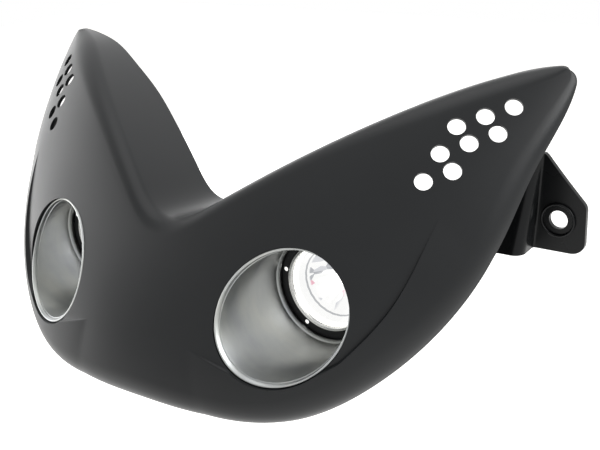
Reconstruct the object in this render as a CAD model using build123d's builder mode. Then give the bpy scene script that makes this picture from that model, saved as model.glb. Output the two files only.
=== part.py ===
from build123d import *
import os
from math import asin, atan2, cos, degrees, hypot, pi, radians, sin, tanh

# A twin headlight mask for a motorbike: a moulded plastic mask with two lamps in metal tubes.
# The origin lies midway between the two ear holes, on the seat behind the ears.
# +X is the rider's left, -Y is the riding direction and +Z is up. Sizes are in millimetres.

# Ears
ear_hole_spacing = 374.0
ear_hole = 10.5
ear_thickness = 3.0
ear_outboard = 15.5
ear_slant = 1.2
ear_below = 18.5
ear_shoulder = 9.5
ear_peak = 36.5
ear_peak_inboard = 8.5
ear_corner = 7.0
ear_fold_inboard = 9.0
ear_step = 17.5
ear_step_run = 10.0
ear_peak_step = 2.0
ear_peak_run = 4.0
ear_web_inboard = 34.0
ear_trim_start = 40.0
ear_rim = 19.6
ear_rim_width = 1.5
ear_rim_height = 1.8

# Places of the lamps
lamp_spacing = 169.0
lamp_drop = 33.0
lamp_ahead = 122.0
lamp_opening = 69.0

# Front surface of the mask, measured from the middle of the lamp mouths
nose_ahead = 17.1
lean = 0.511
bow = 0.00367
sweep = 0.001524
ease = 1.39e-5
lift = 2.19e-8
hook = 3.19e-8

# Outline of the mask in the front view, as places above the lamp axes
valley_height = 36.8
brow_points = [(30.5, 49.6), (83.0, 80.3), (142.3, 105.5)]
chin_drop = 58.3
rim_points = [(59.8, -58.7), (91.5, -53.2), (127.5, -32.2), (155.3, -3.1), (172.5, 30.8), (180.8, 69.0)]
tip_trim = 0.12
tip_centre = (179.8, 105.1)
tip_radius = 8.9
tip_droop = 8.0

# Rear edge of the top flange, as places behind the middle of the lamp mouths
flange_valley = 65.2
flange_points = [(34.0, 79.4), (64.0, 97.9), (93.0, 113.7), (120.0, 124.1), (150.0, 134.2)]
flange_tip = (184.0, 140.0)
flange_fall = 6.0

# Section of the mask
wall = 3.0
fold_radius = 13.0
roll_radius = 17.0
roll_end = 66.0
rim_lip = 2.5
fan_height = 200.0
fan_steps = 14
blend_span = 45.0

# Cheek band, the step that runs under each lamp
cheek_points = [(33.0, -17.5), (65.0, -27.5), (100.0, -31.0), (122.0, -12.5), (137.0, 10.0), (150.0, 55.0)]
cheek_height = 3.4
cheek_sink = 0.6
cheek_steps = 10

# Vent holes in the wings
vent_hole = 10.0
vent_middle = (152.3, 82.3)
vent_row_slope = 19.6
vent_pitch = 15.9
vent_row_shift = 13.35
vent_row_gap = 11.1
vent_rows = [(0, 3), (0, 3), (1, 3)]
vent_drill = 14.0

# Collars and screw bosses behind the face
collar_wall = 3.0
collar_end = 34.0
boss_radius = 4.4
boss_overlap = 1.0
boss_angles = [90.0, 210.0, 330.0]

# Lamp tubes
tube_gap = 0.3
tube_wall = 2.0
tube_recess_inboard = 1.0
tube_recess_outboard = 3.2
tube_length = 106.0
flange_thickness = 2.5
flange_margin = 1.0
ledge_thickness = 2.4
ledge_bore = 48.0
ring_seat_bore = 62.0
ring_lead_in = 2.0

# Rings, gasket and glass
fit = 0.2
ring_face = 43.0
ring_thickness = 4.0
ring_bore = 51.6
pin_hole = 2.7
pin_circle = 55.4
pin_count = 5
pin_start = 167.0
trim_width = 1.5
trim_proud = 0.4
gasket_bore = 45.6
gasket_thickness = 2.0
glass_thickness = 2.0

# Lamp
lamp_rim = 51.2
lamp_rim_thickness = 1.8
bowl_mouth = 44.0
bowl_wall = 1.5
bowl_depth = 24.0
bowl_neck = 12.4
capsule_diameter = 9.2
capsule_length = 16.0
base_length = 13.0
base_width = 17.0
base_height = 17.0
base_corner = 2.0
contact_pin = 1.6
pin_spacing = 5.3
pin_length = 8.0
socket_width = 20.0
socket_height = 15.0
socket_length = 13.0
socket_corner = 2.0
pin_clearance = 0.15

# Rear caps, their grommets and the tube screws
cap_wall = 1.8
cap_grip = 12.0
lead_hole = 9.0
lead_bore = 5.0
grommet_lip = 2.2
grommet_lip_thickness = 1.4
screw_diameter = 3.8
screw_clearance = 0.1
screw_length = 9.0
screw_tip_room = 1.0
screw_head = 7.2
screw_head_height = 2.4
screw_slot_width = 1.0
screw_slot_depth = 1.0

# How far cutting solids run past what they cut, and the step for measuring slopes
overshoot = 60.0
slope_step = 0.05

# Values worked out from the driving dimensions
lamp_x = lamp_spacing / 2
lamp_z = -lamp_drop
mouth_y = -lamp_ahead
fan_z = lamp_z + fan_height
tip_reach = hypot(tip_centre[0], fan_height - tip_centre[1])
tip_angle = degrees(atan2(tip_centre[0], fan_height - tip_centre[1]) + asin(tip_radius / tip_reach))
tip_slope = radians(tip_droop)
opening_radius = lamp_opening / 2
tube_radius = opening_radius - tube_gap
bore_radius = tube_radius - tube_wall
boss_circle = opening_radius + collar_wall + boss_radius - boss_overlap
ear_x = ear_hole_spacing / 2
rear_limit = overshoot
sides = {"left": 1, "right": -1}


def face_y(x, z):
    """Depth of the mask's front surface at a place in the front view."""
    h = z - lamp_z
    centre_line = mouth_y - nose_ahead + lean * h + bow * h**2
    return centre_line + x**2 * (sweep - ease * h + lift * h**2) + hook * x**4


def face_slopes(x, z):
    """How fast the front surface falls back along X and along Z."""
    along_x = (face_y(x + slope_step, z) - face_y(x - slope_step, z)) / (2 * slope_step)
    along_z = (face_y(x, z + slope_step) - face_y(x, z - slope_step)) / (2 * slope_step)
    return along_x, along_z


def find(guide, measure, value):
    """Point of a guide curve at which a growing measure reaches a value."""
    low, high = 0.0, 1.0
    for _ in range(40):
        middle = (low + high) / 2
        if measure(guide @ middle) < value:
            low = middle
        else:
            high = middle
    return guide @ ((low + high) / 2)


def fan_angle(point):
    """Angle of a front-view point about the fan axis, from straight down."""
    return degrees(atan2(point.X, fan_height - point.Y))


def fan_reach(guide, angle):
    """Distance from the fan axis to a guide curve, at an angle."""
    point = find(guide, fan_angle, angle)
    return hypot(point.X, fan_height - point.Y)


# Guide curves, drawn about the middle of the lamp axes
tip_normal = (cos(radians(tip_angle)), sin(radians(tip_angle)))
tip = (tip_centre[0] + tip_radius * tip_normal[0], tip_centre[1] + tip_radius * tip_normal[1])
tip_top = (tip_centre[0] - tip_radius * sin(tip_slope), tip_centre[1] + tip_radius * cos(tip_slope))
tip_side = (tip_centre[0] + tip_radius, tip_centre[1])


def tip_point(turn):
    """Point of the rounded tip, by its angle from +X."""
    return (tip_centre[0] + tip_radius * cos(radians(turn)), tip_centre[1] + tip_radius * sin(radians(turn)))


with BuildLine() as brow:
    Spline((0, valley_height), *brow_points, tip_top, tangents=[(1, 0), (cos(tip_slope), sin(tip_slope))])
    ThreePointArc(tip_top, tip_point((tip_angle + 90 + tip_droop) / 2), tip)
with BuildLine() as rim:
    Spline((0, -chin_drop), *rim_points, tip_side, tangents=[(1, 0), (0, 1)])
    ThreePointArc(tip_side, tip_point(tip_angle / 2), tip)
with BuildLine() as flange_edge:
    Spline((0, flange_valley), *flange_points, flange_tip, tangents=[(1, 0), (1, 0.55)])
with BuildLine() as cheek_line:
    Spline(*cheek_points)
brow_guide = brow.wires()[0]
rim_guide = rim.wires()[0]
flange_guide = flange_edge.edges()[0]
cheek_guide = cheek_line.edges()[0]


def fan_plane(angle):
    """Plane through the fan axis: local x leads away from the axis and local y leads back."""
    turn = radians(angle)
    return Plane(origin=(0, 0, fan_z), x_dir=(sin(turn), 0, -cos(turn)), z_dir=(cos(turn), 0, sin(turn)))


def section_depth(angle, reach):
    """Depth of the front surface in a fan section, at a distance from the fan axis."""
    turn = radians(angle)
    return face_y(reach * sin(turn), fan_z - reach * cos(turn))


def section_heading(angle, reach):
    """Direction of the front surface in a fan section, as an angle from the outward ray."""
    rise = section_depth(angle, reach + slope_step) - section_depth(angle, reach - slope_step)
    return atan2(rise, 2 * slope_step)


def inward(point, heading, distance):
    """Point moved towards the inside of the mask, square to a heading."""
    return (point[0] - distance * sin(heading), point[1] + distance * cos(heading))


def ahead(point, heading, distance):
    """Point moved along a heading."""
    return (point[0] + distance * cos(heading), point[1] + distance * sin(heading))


def face_controls(angle, face_start, face_end, inset):
    """Five control points of the face in a fan section: true at both ends and in the middle."""
    span = face_end - face_start
    headings = [section_heading(angle, face_start + share * span) for share in (0, 0.5, 1)]
    points = [inward((reach, section_depth(angle, reach)), heading, inset)
              for reach, heading in zip((face_start, face_start + span / 2, face_end), headings)]
    first, middle, last = points
    first_pull = ahead(first, headings[0], span / (4 * cos(headings[0])))
    last_pull = ahead(last, headings[2], -span / (4 * cos(headings[2])))
    middle_pull = tuple((16 * middle[i] - first[i] - 4 * first_pull[i] - 4 * last_pull[i] - last[i]) / 6
                        for i in (0, 1))
    return first, first_pull, middle_pull, last_pull, last


def mask_section(angle, inset, rear):
    """Closed fan section of the mask: flange, fold, face, roll and rim, each set in by a wall."""
    side_angle = abs(angle)
    top = fan_reach(brow_guide, side_angle)
    edge = fan_reach(rim_guide, side_angle)
    shrink = tanh((edge - top) / blend_span)
    fold = fold_radius * shrink
    roll = roll_radius * shrink
    flange_heading = radians(-90 - flange_fall)
    end_heading = radians(roll_end)

    face_start = top + fold * (sin(section_heading(angle, top + fold / 3)) - sin(flange_heading))
    start_heading = section_heading(angle, face_start)
    face_end = edge - roll * (sin(end_heading) - sin(section_heading(angle, edge - roll / 2)))
    finish_heading = section_heading(angle, face_end)

    start = (face_start, section_depth(angle, face_start))
    finish = (face_end, section_depth(angle, face_end))
    fold_centre = inward(start, start_heading, fold)
    roll_centre = inward(finish, finish_heading, roll)

    def fold_point(heading):
        return inward(fold_centre, heading, inset - fold)

    def roll_point(heading):
        return inward(roll_centre, heading, inset - roll)

    face_points = face_controls(angle, face_start, face_end, inset)
    corner = fold_point(flange_heading)
    if rear is None:
        back = find(flange_guide, lambda point: point.X, top * sin(radians(side_angle))).Y + mouth_y
        lip = rim_lip * shrink
    else:
        back = rear
        lip = (rear - roll_point(end_heading)[1]) / sin(end_heading)
    flange_back = (corner[0] - (back - corner[1]) * cos(flange_heading) / -sin(flange_heading), back)
    rim_start = roll_point(end_heading)
    rim_back = (rim_start[0] + lip * cos(end_heading), rim_start[1] + lip * sin(end_heading))

    with BuildSketch(fan_plane(angle)) as outline:
        with BuildLine():
            Line(flange_back, corner)
            ThreePointArc(corner, fold_point((flange_heading + start_heading) / 2), face_points[0])
            Bezier(*face_points)
            ThreePointArc(face_points[-1], roll_point((finish_heading + end_heading) / 2), rim_start)
            Line(rim_start, rim_back)
            Line(rim_back, flange_back)
        make_face()
    return outline.sketch.faces()[0]


def fan_sections(last_angle, inset, rear):
    """Sections from wing to wing, closer together towards the tips."""
    turns = [last_angle * sin(pi / 2 * step / fan_steps) for step in range(-fan_steps, fan_steps + 1)]
    return [mask_section(turn, inset, rear) for turn in turns]


def front_plane(y):
    """Plane that faces forward at a depth, with its origin level with the lamp axes."""
    return Plane(origin=(0, y, lamp_z), x_dir=(1, 0, 0), z_dir=(0, -1, 0))


def lamp_plane(side, depth):
    """Plane square to a lamp's axis, at a depth behind the mouth, facing forward."""
    return Plane(origin=(side * lamp_x, mouth_y + depth, lamp_z), x_dir=(1, 0, 0), z_dir=(0, -1, 0))


def lamp_profile_plane(side):
    """Plane through a lamp's axis: local x is the radius and local y the depth behind the mouth."""
    return Plane(origin=(side * lamp_x, mouth_y, lamp_z), x_dir=(1, 0, 0), z_dir=(0, 0, 1))


def lamp_axis(side):
    """Axis of a lamp, pointing back."""
    return Axis((side * lamp_x, mouth_y, lamp_z), (0, 1, 0))


def boss_places(side):
    """Places of the screw bosses round a lamp, in its own plane."""
    return [(side * boss_circle * cos(radians(turn)), boss_circle * sin(radians(turn)))
            for turn in boss_angles]


def cheek_section(share):
    """Fan section of the mask raised by the cheek band, which fades out at both of its ends."""
    first, last = fan_angle(cheek_guide @ 0), fan_angle(cheek_guide @ 1)
    raised = (cheek_height + cheek_sink) * sin(pi * share) - cheek_sink
    return mask_section(first + share * (last - first), -raised, None)


def beyond(point, share):
    """Front-view point moved away from the fan axis."""
    return (point.X * share, fan_height + (point.Y - fan_height) * share)


def ear_section(height, step, run):
    """Plan section of an ear: a web behind the wing, a joggled shelf and the flat ear."""
    fold_x = ear_x - ear_fold_inboard
    web_x = ear_x - ear_web_inboard
    shelf_y = -ear_thickness - step
    lean_x = -ear_thickness * step / hypot(step, run)
    far_x = ear_x + overshoot
    with BuildSketch(Plane.XY.offset(height)) as outline:
        with BuildLine():
            Polyline((fold_x, -ear_thickness), (far_x, -ear_thickness), (far_x, 0), (fold_x + lean_x, 0))
            Spline((fold_x + lean_x, 0), (fold_x - run + lean_x, shelf_y + ear_thickness),
                   tangents=[(-1, 0), (-1, 0)])
            Polyline((fold_x - run + lean_x, shelf_y + ear_thickness), (web_x, shelf_y + ear_thickness),
                     (web_x, mouth_y), (web_x + ear_thickness, mouth_y), (web_x + ear_thickness, shelf_y),
                     (fold_x - run, shelf_y))
            Spline((fold_x - run, shelf_y), (fold_x, -ear_thickness), tangents=[(1, 0), (1, 0)])
        make_face()
    return outline.sketch.faces()[0]


# Mask: skin, cavity and the liner that trims what grows from the wall
last_section = tip_angle - tip_trim
last_cavity = tip_angle - degrees(2 * wall / tip_reach)
skin_sections = fan_sections(last_section, 0, None)
with BuildPart() as skin:
    loft(skin_sections)

cavity_sections = fan_sections(last_cavity, wall, rear_limit)
with BuildPart() as cavity:
    loft(cavity_sections)

liner_sections = fan_sections(last_cavity, wall / 2, rear_limit)
with BuildPart() as liner:
    loft(liner_sections)

cheek_sections = [cheek_section(step / cheek_steps) for step in range(cheek_steps + 1)]
with BuildPart() as cheek_bands:
    loft(cheek_sections)
    with BuildSketch(front_plane(rear_limit)):
        with BuildLine():
            add(cheek_line.line)
            Polyline(cheek_guide @ 1, beyond(cheek_guide @ 1, 2),
                     (tip_centre[0] + overshoot, -chin_drop - overshoot),
                     beyond(cheek_guide @ 0, 2), cheek_guide @ 0)
        make_face()
    extrude(amount=lamp_ahead + nose_ahead + 2 * overshoot, mode=Mode.INTERSECT)
    mirror(about=Plane.YZ)

# Collars and bosses, from their flat rear faces forward into the wall
with BuildPart() as collars:
    for side in sides.values():
        with BuildSketch(lamp_plane(side, collar_end)):
            Circle(opening_radius + collar_wall)
            with Locations(*boss_places(side)):
                Circle(boss_radius)
        extrude(amount=lamp_opening + collar_end)
    add(liner.part, mode=Mode.INTERSECT)

# Ears: one is drawn and the other is its mirror image
with BuildPart() as ears:
    loft([ear_section(-ear_below - ear_thickness, ear_step, ear_step_run),
          ear_section(ear_peak + ear_thickness, ear_peak_step, ear_peak_run)], ruled=True)
    with BuildSketch(Plane.XZ.offset(-ear_thickness)) as ear_outline:
        with BuildLine():
            Polyline((ear_x - overshoot, -ear_below), (ear_x + ear_outboard - ear_slant, -ear_below),
                     (ear_x + ear_outboard, ear_shoulder), (ear_x - ear_peak_inboard, ear_peak),
                     (ear_x - overshoot, ear_peak), close=True)
        make_face()
        fillet(ear_outline.vertices().sort_by(Axis.X)[-2:], radius=ear_corner)
    extrude(amount=lamp_ahead + overshoot, mode=Mode.INTERSECT)
    with BuildSketch(Plane.XZ.offset(ear_thickness)):
        with Locations((ear_x, 0)):
            Circle(ear_rim / 2)
            Circle(ear_rim / 2 - ear_rim_width, mode=Mode.SUBTRACT)
    extrude(amount=ear_rim_height)

with BuildPart() as ear_trim:
    with BuildSketch(Plane.XZ.offset(ear_trim_start)):
        with Locations((ear_x - ear_web_inboard, 0)):
            Rectangle(ear_web_inboard, 2 * overshoot)
    extrude(amount=lamp_ahead)
    add(liner.part, mode=Mode.SUBTRACT)

with BuildPart() as trimmed_ears:
    add(ears.part)
    add(ear_trim.part, mode=Mode.SUBTRACT)
    mirror(about=Plane.YZ)

# Drills for the vent holes, square to the wing
slope_x, slope_z = face_slopes(vent_middle[0], vent_middle[1] + lamp_z)
row_turn = radians(vent_row_slope)
vent_plane = Plane(
    origin=(vent_middle[0], face_y(vent_middle[0], vent_middle[1] + lamp_z), vent_middle[1] + lamp_z),
    x_dir=(cos(row_turn), slope_x * cos(row_turn) + slope_z * sin(row_turn), sin(row_turn)),
    z_dir=(slope_x, -1, slope_z))
vent_places = [((1 - column) * vent_pitch + (1 - row) * vent_row_shift, (1 - row) * vent_row_gap)
               for row, (first, last) in enumerate(vent_rows) for column in range(first, last)]
with BuildPart() as vent_drills:
    with BuildSketch(vent_plane.offset(-vent_drill)):
        with Locations(*vent_places):
            Circle(vent_hole / 2)
    extrude(amount=2 * vent_drill)
    mirror(about=Plane.YZ)

with BuildPart() as mask_shell:
    add(skin.part)
    add(cheek_bands.part)
    add(cavity.part, mode=Mode.SUBTRACT)
    add(collars.part)
    add(trimmed_ears.part)
    for side in sides.values():
        with BuildSketch(lamp_plane(side, collar_end)):
            Circle(opening_radius)
        extrude(amount=lamp_opening + collar_end, mode=Mode.SUBTRACT)
        with BuildSketch(lamp_plane(side, collar_end)):
            with Locations(*boss_places(side)):
                Circle((screw_diameter + screw_clearance) / 2)
        extrude(amount=screw_length - flange_thickness + screw_tip_room, mode=Mode.SUBTRACT)
    with BuildSketch(Plane.XZ.offset(-ear_thickness)):
        with Locations((ear_x, 0), (-ear_x, 0)):
            Circle(ear_hole / 2)
    extrude(amount=3 * ear_thickness, mode=Mode.SUBTRACT)
    add(vent_drills.part, mode=Mode.SUBTRACT)
pieces = {"mask_shell": mask_shell}

# Depths along a lamp, behind the middle of its mouth
ring_back = ring_face + ring_thickness
gasket_back = ring_back + gasket_thickness
ledge_depth = gasket_back + lamp_rim_thickness
bowl_back = gasket_back + bowl_depth
base_back = bowl_back + base_length
ring_radius = ring_seat_bore / 2 - fit
trim_radius = ring_bore / 2 - fit
trim_bore = trim_radius - trim_width
glass_radius = trim_bore - fit
mouth_outboard = face_y(lamp_x + opening_radius, lamp_z) + tube_recess_outboard
mouth_inboard = face_y(lamp_x - opening_radius, lamp_z) + tube_recess_inboard
mouth_middle = (mouth_outboard + mouth_inboard) / 2
mouth_slope_x = (mouth_outboard - mouth_inboard) / lamp_opening
mouth_top = face_y(lamp_x, lamp_z + opening_radius)
mouth_bottom = face_y(lamp_x, lamp_z - opening_radius)
mouth_slope_z = (mouth_top - mouth_bottom) / lamp_opening


def lamp_tube(side):
    """Metal tube with a slanted mouth, a ledge for the lamp and a flange with three ears."""
    front = -lamp_opening / 2
    mouth = Plane(origin=(side * lamp_x, mouth_middle, lamp_z),
                  z_dir=(-side * mouth_slope_x, 1, -mouth_slope_z))
    with BuildPart() as tube:
        with BuildSketch(lamp_profile_plane(side)):
            with BuildLine():
                Polyline((bore_radius, front), (tube_radius, front), (tube_radius, tube_length),
                         (bore_radius, tube_length), (bore_radius, ledge_depth + ledge_thickness),
                         (ledge_bore / 2, ledge_depth + ledge_thickness), (ledge_bore / 2, ledge_depth),
                         (ring_seat_bore / 2, ledge_depth), (ring_seat_bore / 2, ring_face - ring_lead_in),
                         close=True)
            make_face()
        revolve(axis=lamp_axis(side))
        with BuildSketch(lamp_plane(side, collar_end + flange_thickness)):
            Circle(opening_radius + collar_wall + flange_margin)
            with Locations(*boss_places(side)):
                Circle(boss_radius + flange_margin)
            Circle(tube_radius - tube_wall / 2, mode=Mode.SUBTRACT)
            with Locations(*boss_places(side)):
                Circle((screw_diameter + screw_clearance) / 2, mode=Mode.SUBTRACT)
        extrude(amount=flange_thickness)
        split(bisect_by=mouth, keep=Keep.TOP)
    return tube


def ring(side, outer, inner, front, back):
    """Plain ring, or a disc where there is no inner radius, about a lamp's axis."""
    with BuildPart() as body:
        with BuildSketch(lamp_plane(side, back)):
            Circle(outer)
            if inner:
                Circle(inner, mode=Mode.SUBTRACT)
        extrude(amount=back - front)
    return body


def retaining_ring(side):
    """Ring that screws into the tube and clamps the lamp, with holes for a pin spanner."""
    with BuildPart() as body:
        with BuildSketch(lamp_plane(side, ring_back)):
            Circle(ring_radius)
            Circle(ring_bore / 2, mode=Mode.SUBTRACT)
            for step in range(pin_count):
                turn = radians(pin_start + step * 360 / pin_count)
                with Locations((side * pin_circle / 2 * cos(turn), pin_circle / 2 * sin(turn))):
                    Circle(pin_hole / 2, mode=Mode.SUBTRACT)
        extrude(amount=ring_thickness)
    return body


def bowl_curve(mouth_radius, neck_radius, front):
    """Control points of a parabola from the bowl's mouth back to its neck."""
    share = neck_radius / mouth_radius
    return ((mouth_radius, front), ((mouth_radius + neck_radius) / 2, front + bowl_depth / (1 + share)),
            (neck_radius, front + bowl_depth))


def reflector(side):
    """Bowl with a flat rim, open at the mouth and at the neck."""
    inner = bowl_curve(bowl_mouth / 2, bowl_neck / 2, gasket_back)
    outer = bowl_curve(bowl_mouth / 2 + bowl_wall, bowl_neck / 2 + bowl_wall, gasket_back)
    with BuildPart() as bowl:
        with BuildSketch(lamp_profile_plane(side)):
            with BuildLine():
                Bezier(*inner)
                Line(inner[-1], outer[-1])
                Bezier(*outer)
                Line(outer[0], inner[0])
            make_face()
        revolve(axis=lamp_axis(side))
        with BuildSketch(lamp_plane(side, ledge_depth)):
            Circle(lamp_rim / 2)
            Circle(bowl_mouth / 2 + bowl_wall / 2, mode=Mode.SUBTRACT)
        extrude(amount=lamp_rim_thickness)
    return bowl


def bulb_capsule(side):
    """Sealed capsule with a domed front, standing on the lamp base in the bowl's neck."""
    radius = capsule_diameter / 2
    front = bowl_back - capsule_length
    with BuildPart() as capsule:
        with BuildSketch(lamp_profile_plane(side)):
            with BuildLine():
                Line((0, bowl_back), (radius, bowl_back))
                Line((radius, bowl_back), (radius, front + radius))
                RadiusArc((radius, front + radius), (0, front), radius)
                Line((0, front), (0, bowl_back))
            make_face()
        revolve(axis=lamp_axis(side))
    return capsule


def pin_places():
    """Places of the two contact pins, one above the other."""
    return [(0, pin_spacing / 2), (0, -pin_spacing / 2)]


def lamp_base(side):
    """Ceramic base behind the bowl, with rounded corners."""
    with BuildPart() as base:
        with BuildSketch(lamp_plane(side, base_back)):
            RectangleRounded(base_width, base_height, base_corner)
        extrude(amount=base_length)
    return base


def contact_pins(side):
    """Two round pins at the back of the lamp base."""
    with BuildPart() as pins:
        with BuildSketch(lamp_plane(side, base_back + pin_length)):
            with Locations(*pin_places()):
                Circle(contact_pin / 2)
        extrude(amount=pin_length)
    return pins


def lamp_socket(side):
    """Ceramic holder that plugs on the pins."""
    with BuildPart() as socket:
        with BuildSketch(lamp_plane(side, base_back + socket_length)):
            RectangleRounded(socket_width, socket_height, socket_corner)
        extrude(amount=socket_length)
        with BuildSketch(lamp_plane(side, base_back + pin_length + pin_clearance)):
            with Locations(*pin_places()):
                Circle(contact_pin / 2 + pin_clearance)
        extrude(amount=pin_length + pin_clearance, mode=Mode.SUBTRACT)
    return socket


def rear_cap(side):
    """Soft cap pushed over the back of the tube, with a hole for the lead grommet."""
    inner = tube_radius + fit
    with BuildPart() as cap:
        with BuildSketch(lamp_plane(side, tube_length + cap_wall)):
            Circle(inner + cap_wall)
        extrude(amount=cap_wall + cap_grip)
        with BuildSketch(lamp_plane(side, tube_length)):
            Circle(inner)
        extrude(amount=cap_grip, mode=Mode.SUBTRACT)
        with BuildSketch(lamp_plane(side, tube_length + cap_wall)):
            Circle(lead_hole / 2)
        extrude(amount=cap_wall, mode=Mode.SUBTRACT)
        fillet(cap.edges().group_by(Axis.Y)[-1].sort_by(SortBy.RADIUS)[-1], radius=cap_wall / 2)
    return cap


def lead_grommet(side):
    """Rubber grommet that lines the hole in the rear cap: two lips and a waist."""
    front = tube_length - fit - grommet_lip_thickness
    back = tube_length + cap_wall + fit + grommet_lip_thickness
    waist = lead_hole / 2 - fit
    lip = lead_hole / 2 + grommet_lip
    with BuildPart() as grommet:
        with BuildSketch(lamp_profile_plane(side)):
            with BuildLine():
                Polyline((lead_bore / 2, front), (lip, front), (lip, front + grommet_lip_thickness),
                         (waist, front + grommet_lip_thickness), (waist, back - grommet_lip_thickness),
                         (lip, back - grommet_lip_thickness), (lip, back), (lead_bore / 2, back), close=True)
            make_face()
        revolve(axis=lamp_axis(side))
    return grommet


def tube_screws(side):
    """Three screws through the tube's flange into the bosses."""
    seat = collar_end + flange_thickness
    with BuildPart() as screws:
        with BuildSketch(lamp_plane(side, seat)):
            with Locations(*boss_places(side)):
                Circle(screw_diameter / 2)
        extrude(amount=screw_length)
        with BuildSketch(lamp_plane(side, seat + screw_head_height)):
            with Locations(*boss_places(side)):
                Circle(screw_head / 2)
        extrude(amount=screw_head_height)
        with BuildSketch(lamp_plane(side, seat + screw_head_height)):
            with Locations(*boss_places(side)):
                Rectangle(screw_head, screw_slot_width)
        extrude(amount=screw_slot_depth, mode=Mode.SUBTRACT)
    return screws


for name, side in sides.items():
    pieces[f"lamp_tube_{name}"] = lamp_tube(side)
    pieces[f"retaining_ring_{name}"] = retaining_ring(side)
    pieces[f"trim_ring_{name}"] = ring(side, trim_radius, trim_bore, ring_face - trim_proud, ring_back)
    pieces[f"lamp_gasket_{name}"] = ring(side, ring_radius, gasket_bore / 2, ring_back, gasket_back)
    pieces[f"cover_glass_{name}"] = ring(side, glass_radius, 0, ring_back - glass_thickness, ring_back)
    pieces[f"reflector_{name}"] = reflector(side)
    pieces[f"bulb_capsule_{name}"] = bulb_capsule(side)
    pieces[f"lamp_base_{name}"] = lamp_base(side)
    pieces[f"contact_pins_{name}"] = contact_pins(side)
    pieces[f"lamp_socket_{name}"] = lamp_socket(side)
    pieces[f"rear_cap_{name}"] = rear_cap(side)
    pieces[f"lead_grommet_{name}"] = lead_grommet(side)
    pieces[f"tube_screws_{name}"] = tube_screws(side)

os.makedirs("parts", exist_ok=True)
for name, piece in pieces.items():
    piece.part.label = name
    export_step(piece.part, f"parts/{name}.step")
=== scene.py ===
import logging
import math
from dataclasses import dataclass
from enum import Enum

import bmesh
import bpy
import numpy as np
from mathutils import Matrix, Vector


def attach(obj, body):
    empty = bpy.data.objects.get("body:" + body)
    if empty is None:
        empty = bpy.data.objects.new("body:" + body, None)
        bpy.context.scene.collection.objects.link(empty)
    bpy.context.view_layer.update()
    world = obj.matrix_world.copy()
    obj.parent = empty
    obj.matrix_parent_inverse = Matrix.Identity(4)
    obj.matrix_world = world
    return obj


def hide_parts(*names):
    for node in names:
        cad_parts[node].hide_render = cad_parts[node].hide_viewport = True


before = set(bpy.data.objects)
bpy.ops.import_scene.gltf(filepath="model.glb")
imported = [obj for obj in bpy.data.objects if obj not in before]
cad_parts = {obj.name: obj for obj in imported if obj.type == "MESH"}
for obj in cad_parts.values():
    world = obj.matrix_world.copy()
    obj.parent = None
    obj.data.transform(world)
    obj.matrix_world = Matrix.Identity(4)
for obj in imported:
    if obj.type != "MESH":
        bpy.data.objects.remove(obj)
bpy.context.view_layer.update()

LOG = logging.getLogger("twin_headlight")
BODY = "root"

# Sizes in metres that several classes share, and the distance within which points are one.
MERGE = 2e-6
LAMP_X = 0.0845
LAMP_Z = -0.033
MOUTH_Y = -0.122
LAMP_OPENING = 0.069
BOSS_CIRCLE = 0.0409
BOSS_ANGLES = (90.0, 210.0, 330.0)

# The way that the lamps' axes run, from the front to the back.
BACKWARD = np.array([0.0, 1.0, 0.0])

# The share of the noise's range in which nearly all of its values lie.
NOISE_LIMITS = (0.3, 0.7)


class Side(Enum):
    """The two halves of the mask, with the sign of their X."""

    LEFT = 1
    RIGHT = -1

    @property
    def word(self) -> str:
        """The side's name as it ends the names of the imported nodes."""
        return self.name.lower()


class Wrap(Enum):
    """How a grid of points closes on itself."""

    OPEN = (False, False)
    COLUMNS = (False, True)
    BOTH = (True, True)


def unit(direction: np.ndarray) -> np.ndarray:
    """The direction at length one."""
    return direction / np.linalg.norm(direction)


def smooth_step(share: np.ndarray) -> np.ndarray:
    """A rise from 0 to 1 that starts and ends level: 3 s squared less 2 s cubed."""
    s = np.clip(share, 0.0, 1.0)
    return s * s * (3.0 - 2.0 * s)


def clamped_spline(points: list, first: tuple, last: tuple, count: int) -> np.ndarray:
    """Cubic curve through points with a given heading at each end.

    The parameter is the summed chord length. The slopes at the points solve the usual three-term
    equations of a curve with continuous bending, and each span is the cubic of its two points and
    two slopes.

    Args:
        points: The points to pass through.
        first: Heading at the first point.
        last: Heading at the last point.
        count: How many points of the curve to return.

    Returns:
        Array of count points on the curve.
    """
    p = np.array(points, float)
    h = np.linalg.norm(np.diff(p, axis=0), axis=1)
    knots = np.concatenate(([0.0], np.cumsum(h)))
    size = len(p)
    matrix = np.zeros((size, size))
    right = np.zeros_like(p)
    matrix[0, 0] = matrix[-1, -1] = 1.0
    right[0] = unit(np.array(first, float))
    right[-1] = unit(np.array(last, float))
    inner = np.arange(1, size - 1)
    matrix[inner, inner - 1] = 1.0 / h[:-1]
    matrix[inner, inner] = 2.0 / h[:-1] + 2.0 / h[1:]
    matrix[inner, inner + 1] = 1.0 / h[1:]
    rise = np.diff(p, axis=0) / (h[:, None] ** 2)
    right[1:-1] = 3.0 * (rise[:-1] + rise[1:])
    slopes = np.linalg.solve(matrix, right)
    t = np.linspace(0.0, knots[-1], count)
    span = np.clip(np.searchsorted(knots, t, side="right") - 1, 0, size - 2)
    s = ((t - knots[span]) / h[span])[:, None]
    a, b = p[span], p[span + 1]
    c, d = slopes[span] * h[span][:, None], slopes[span + 1] * h[span][:, None]
    return ((2 * s**3 - 3 * s**2 + 1) * a + (s**3 - 2 * s**2 + s) * c
            + (3 * s**2 - 2 * s**3) * b + (s**3 - s**2) * d)


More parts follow.
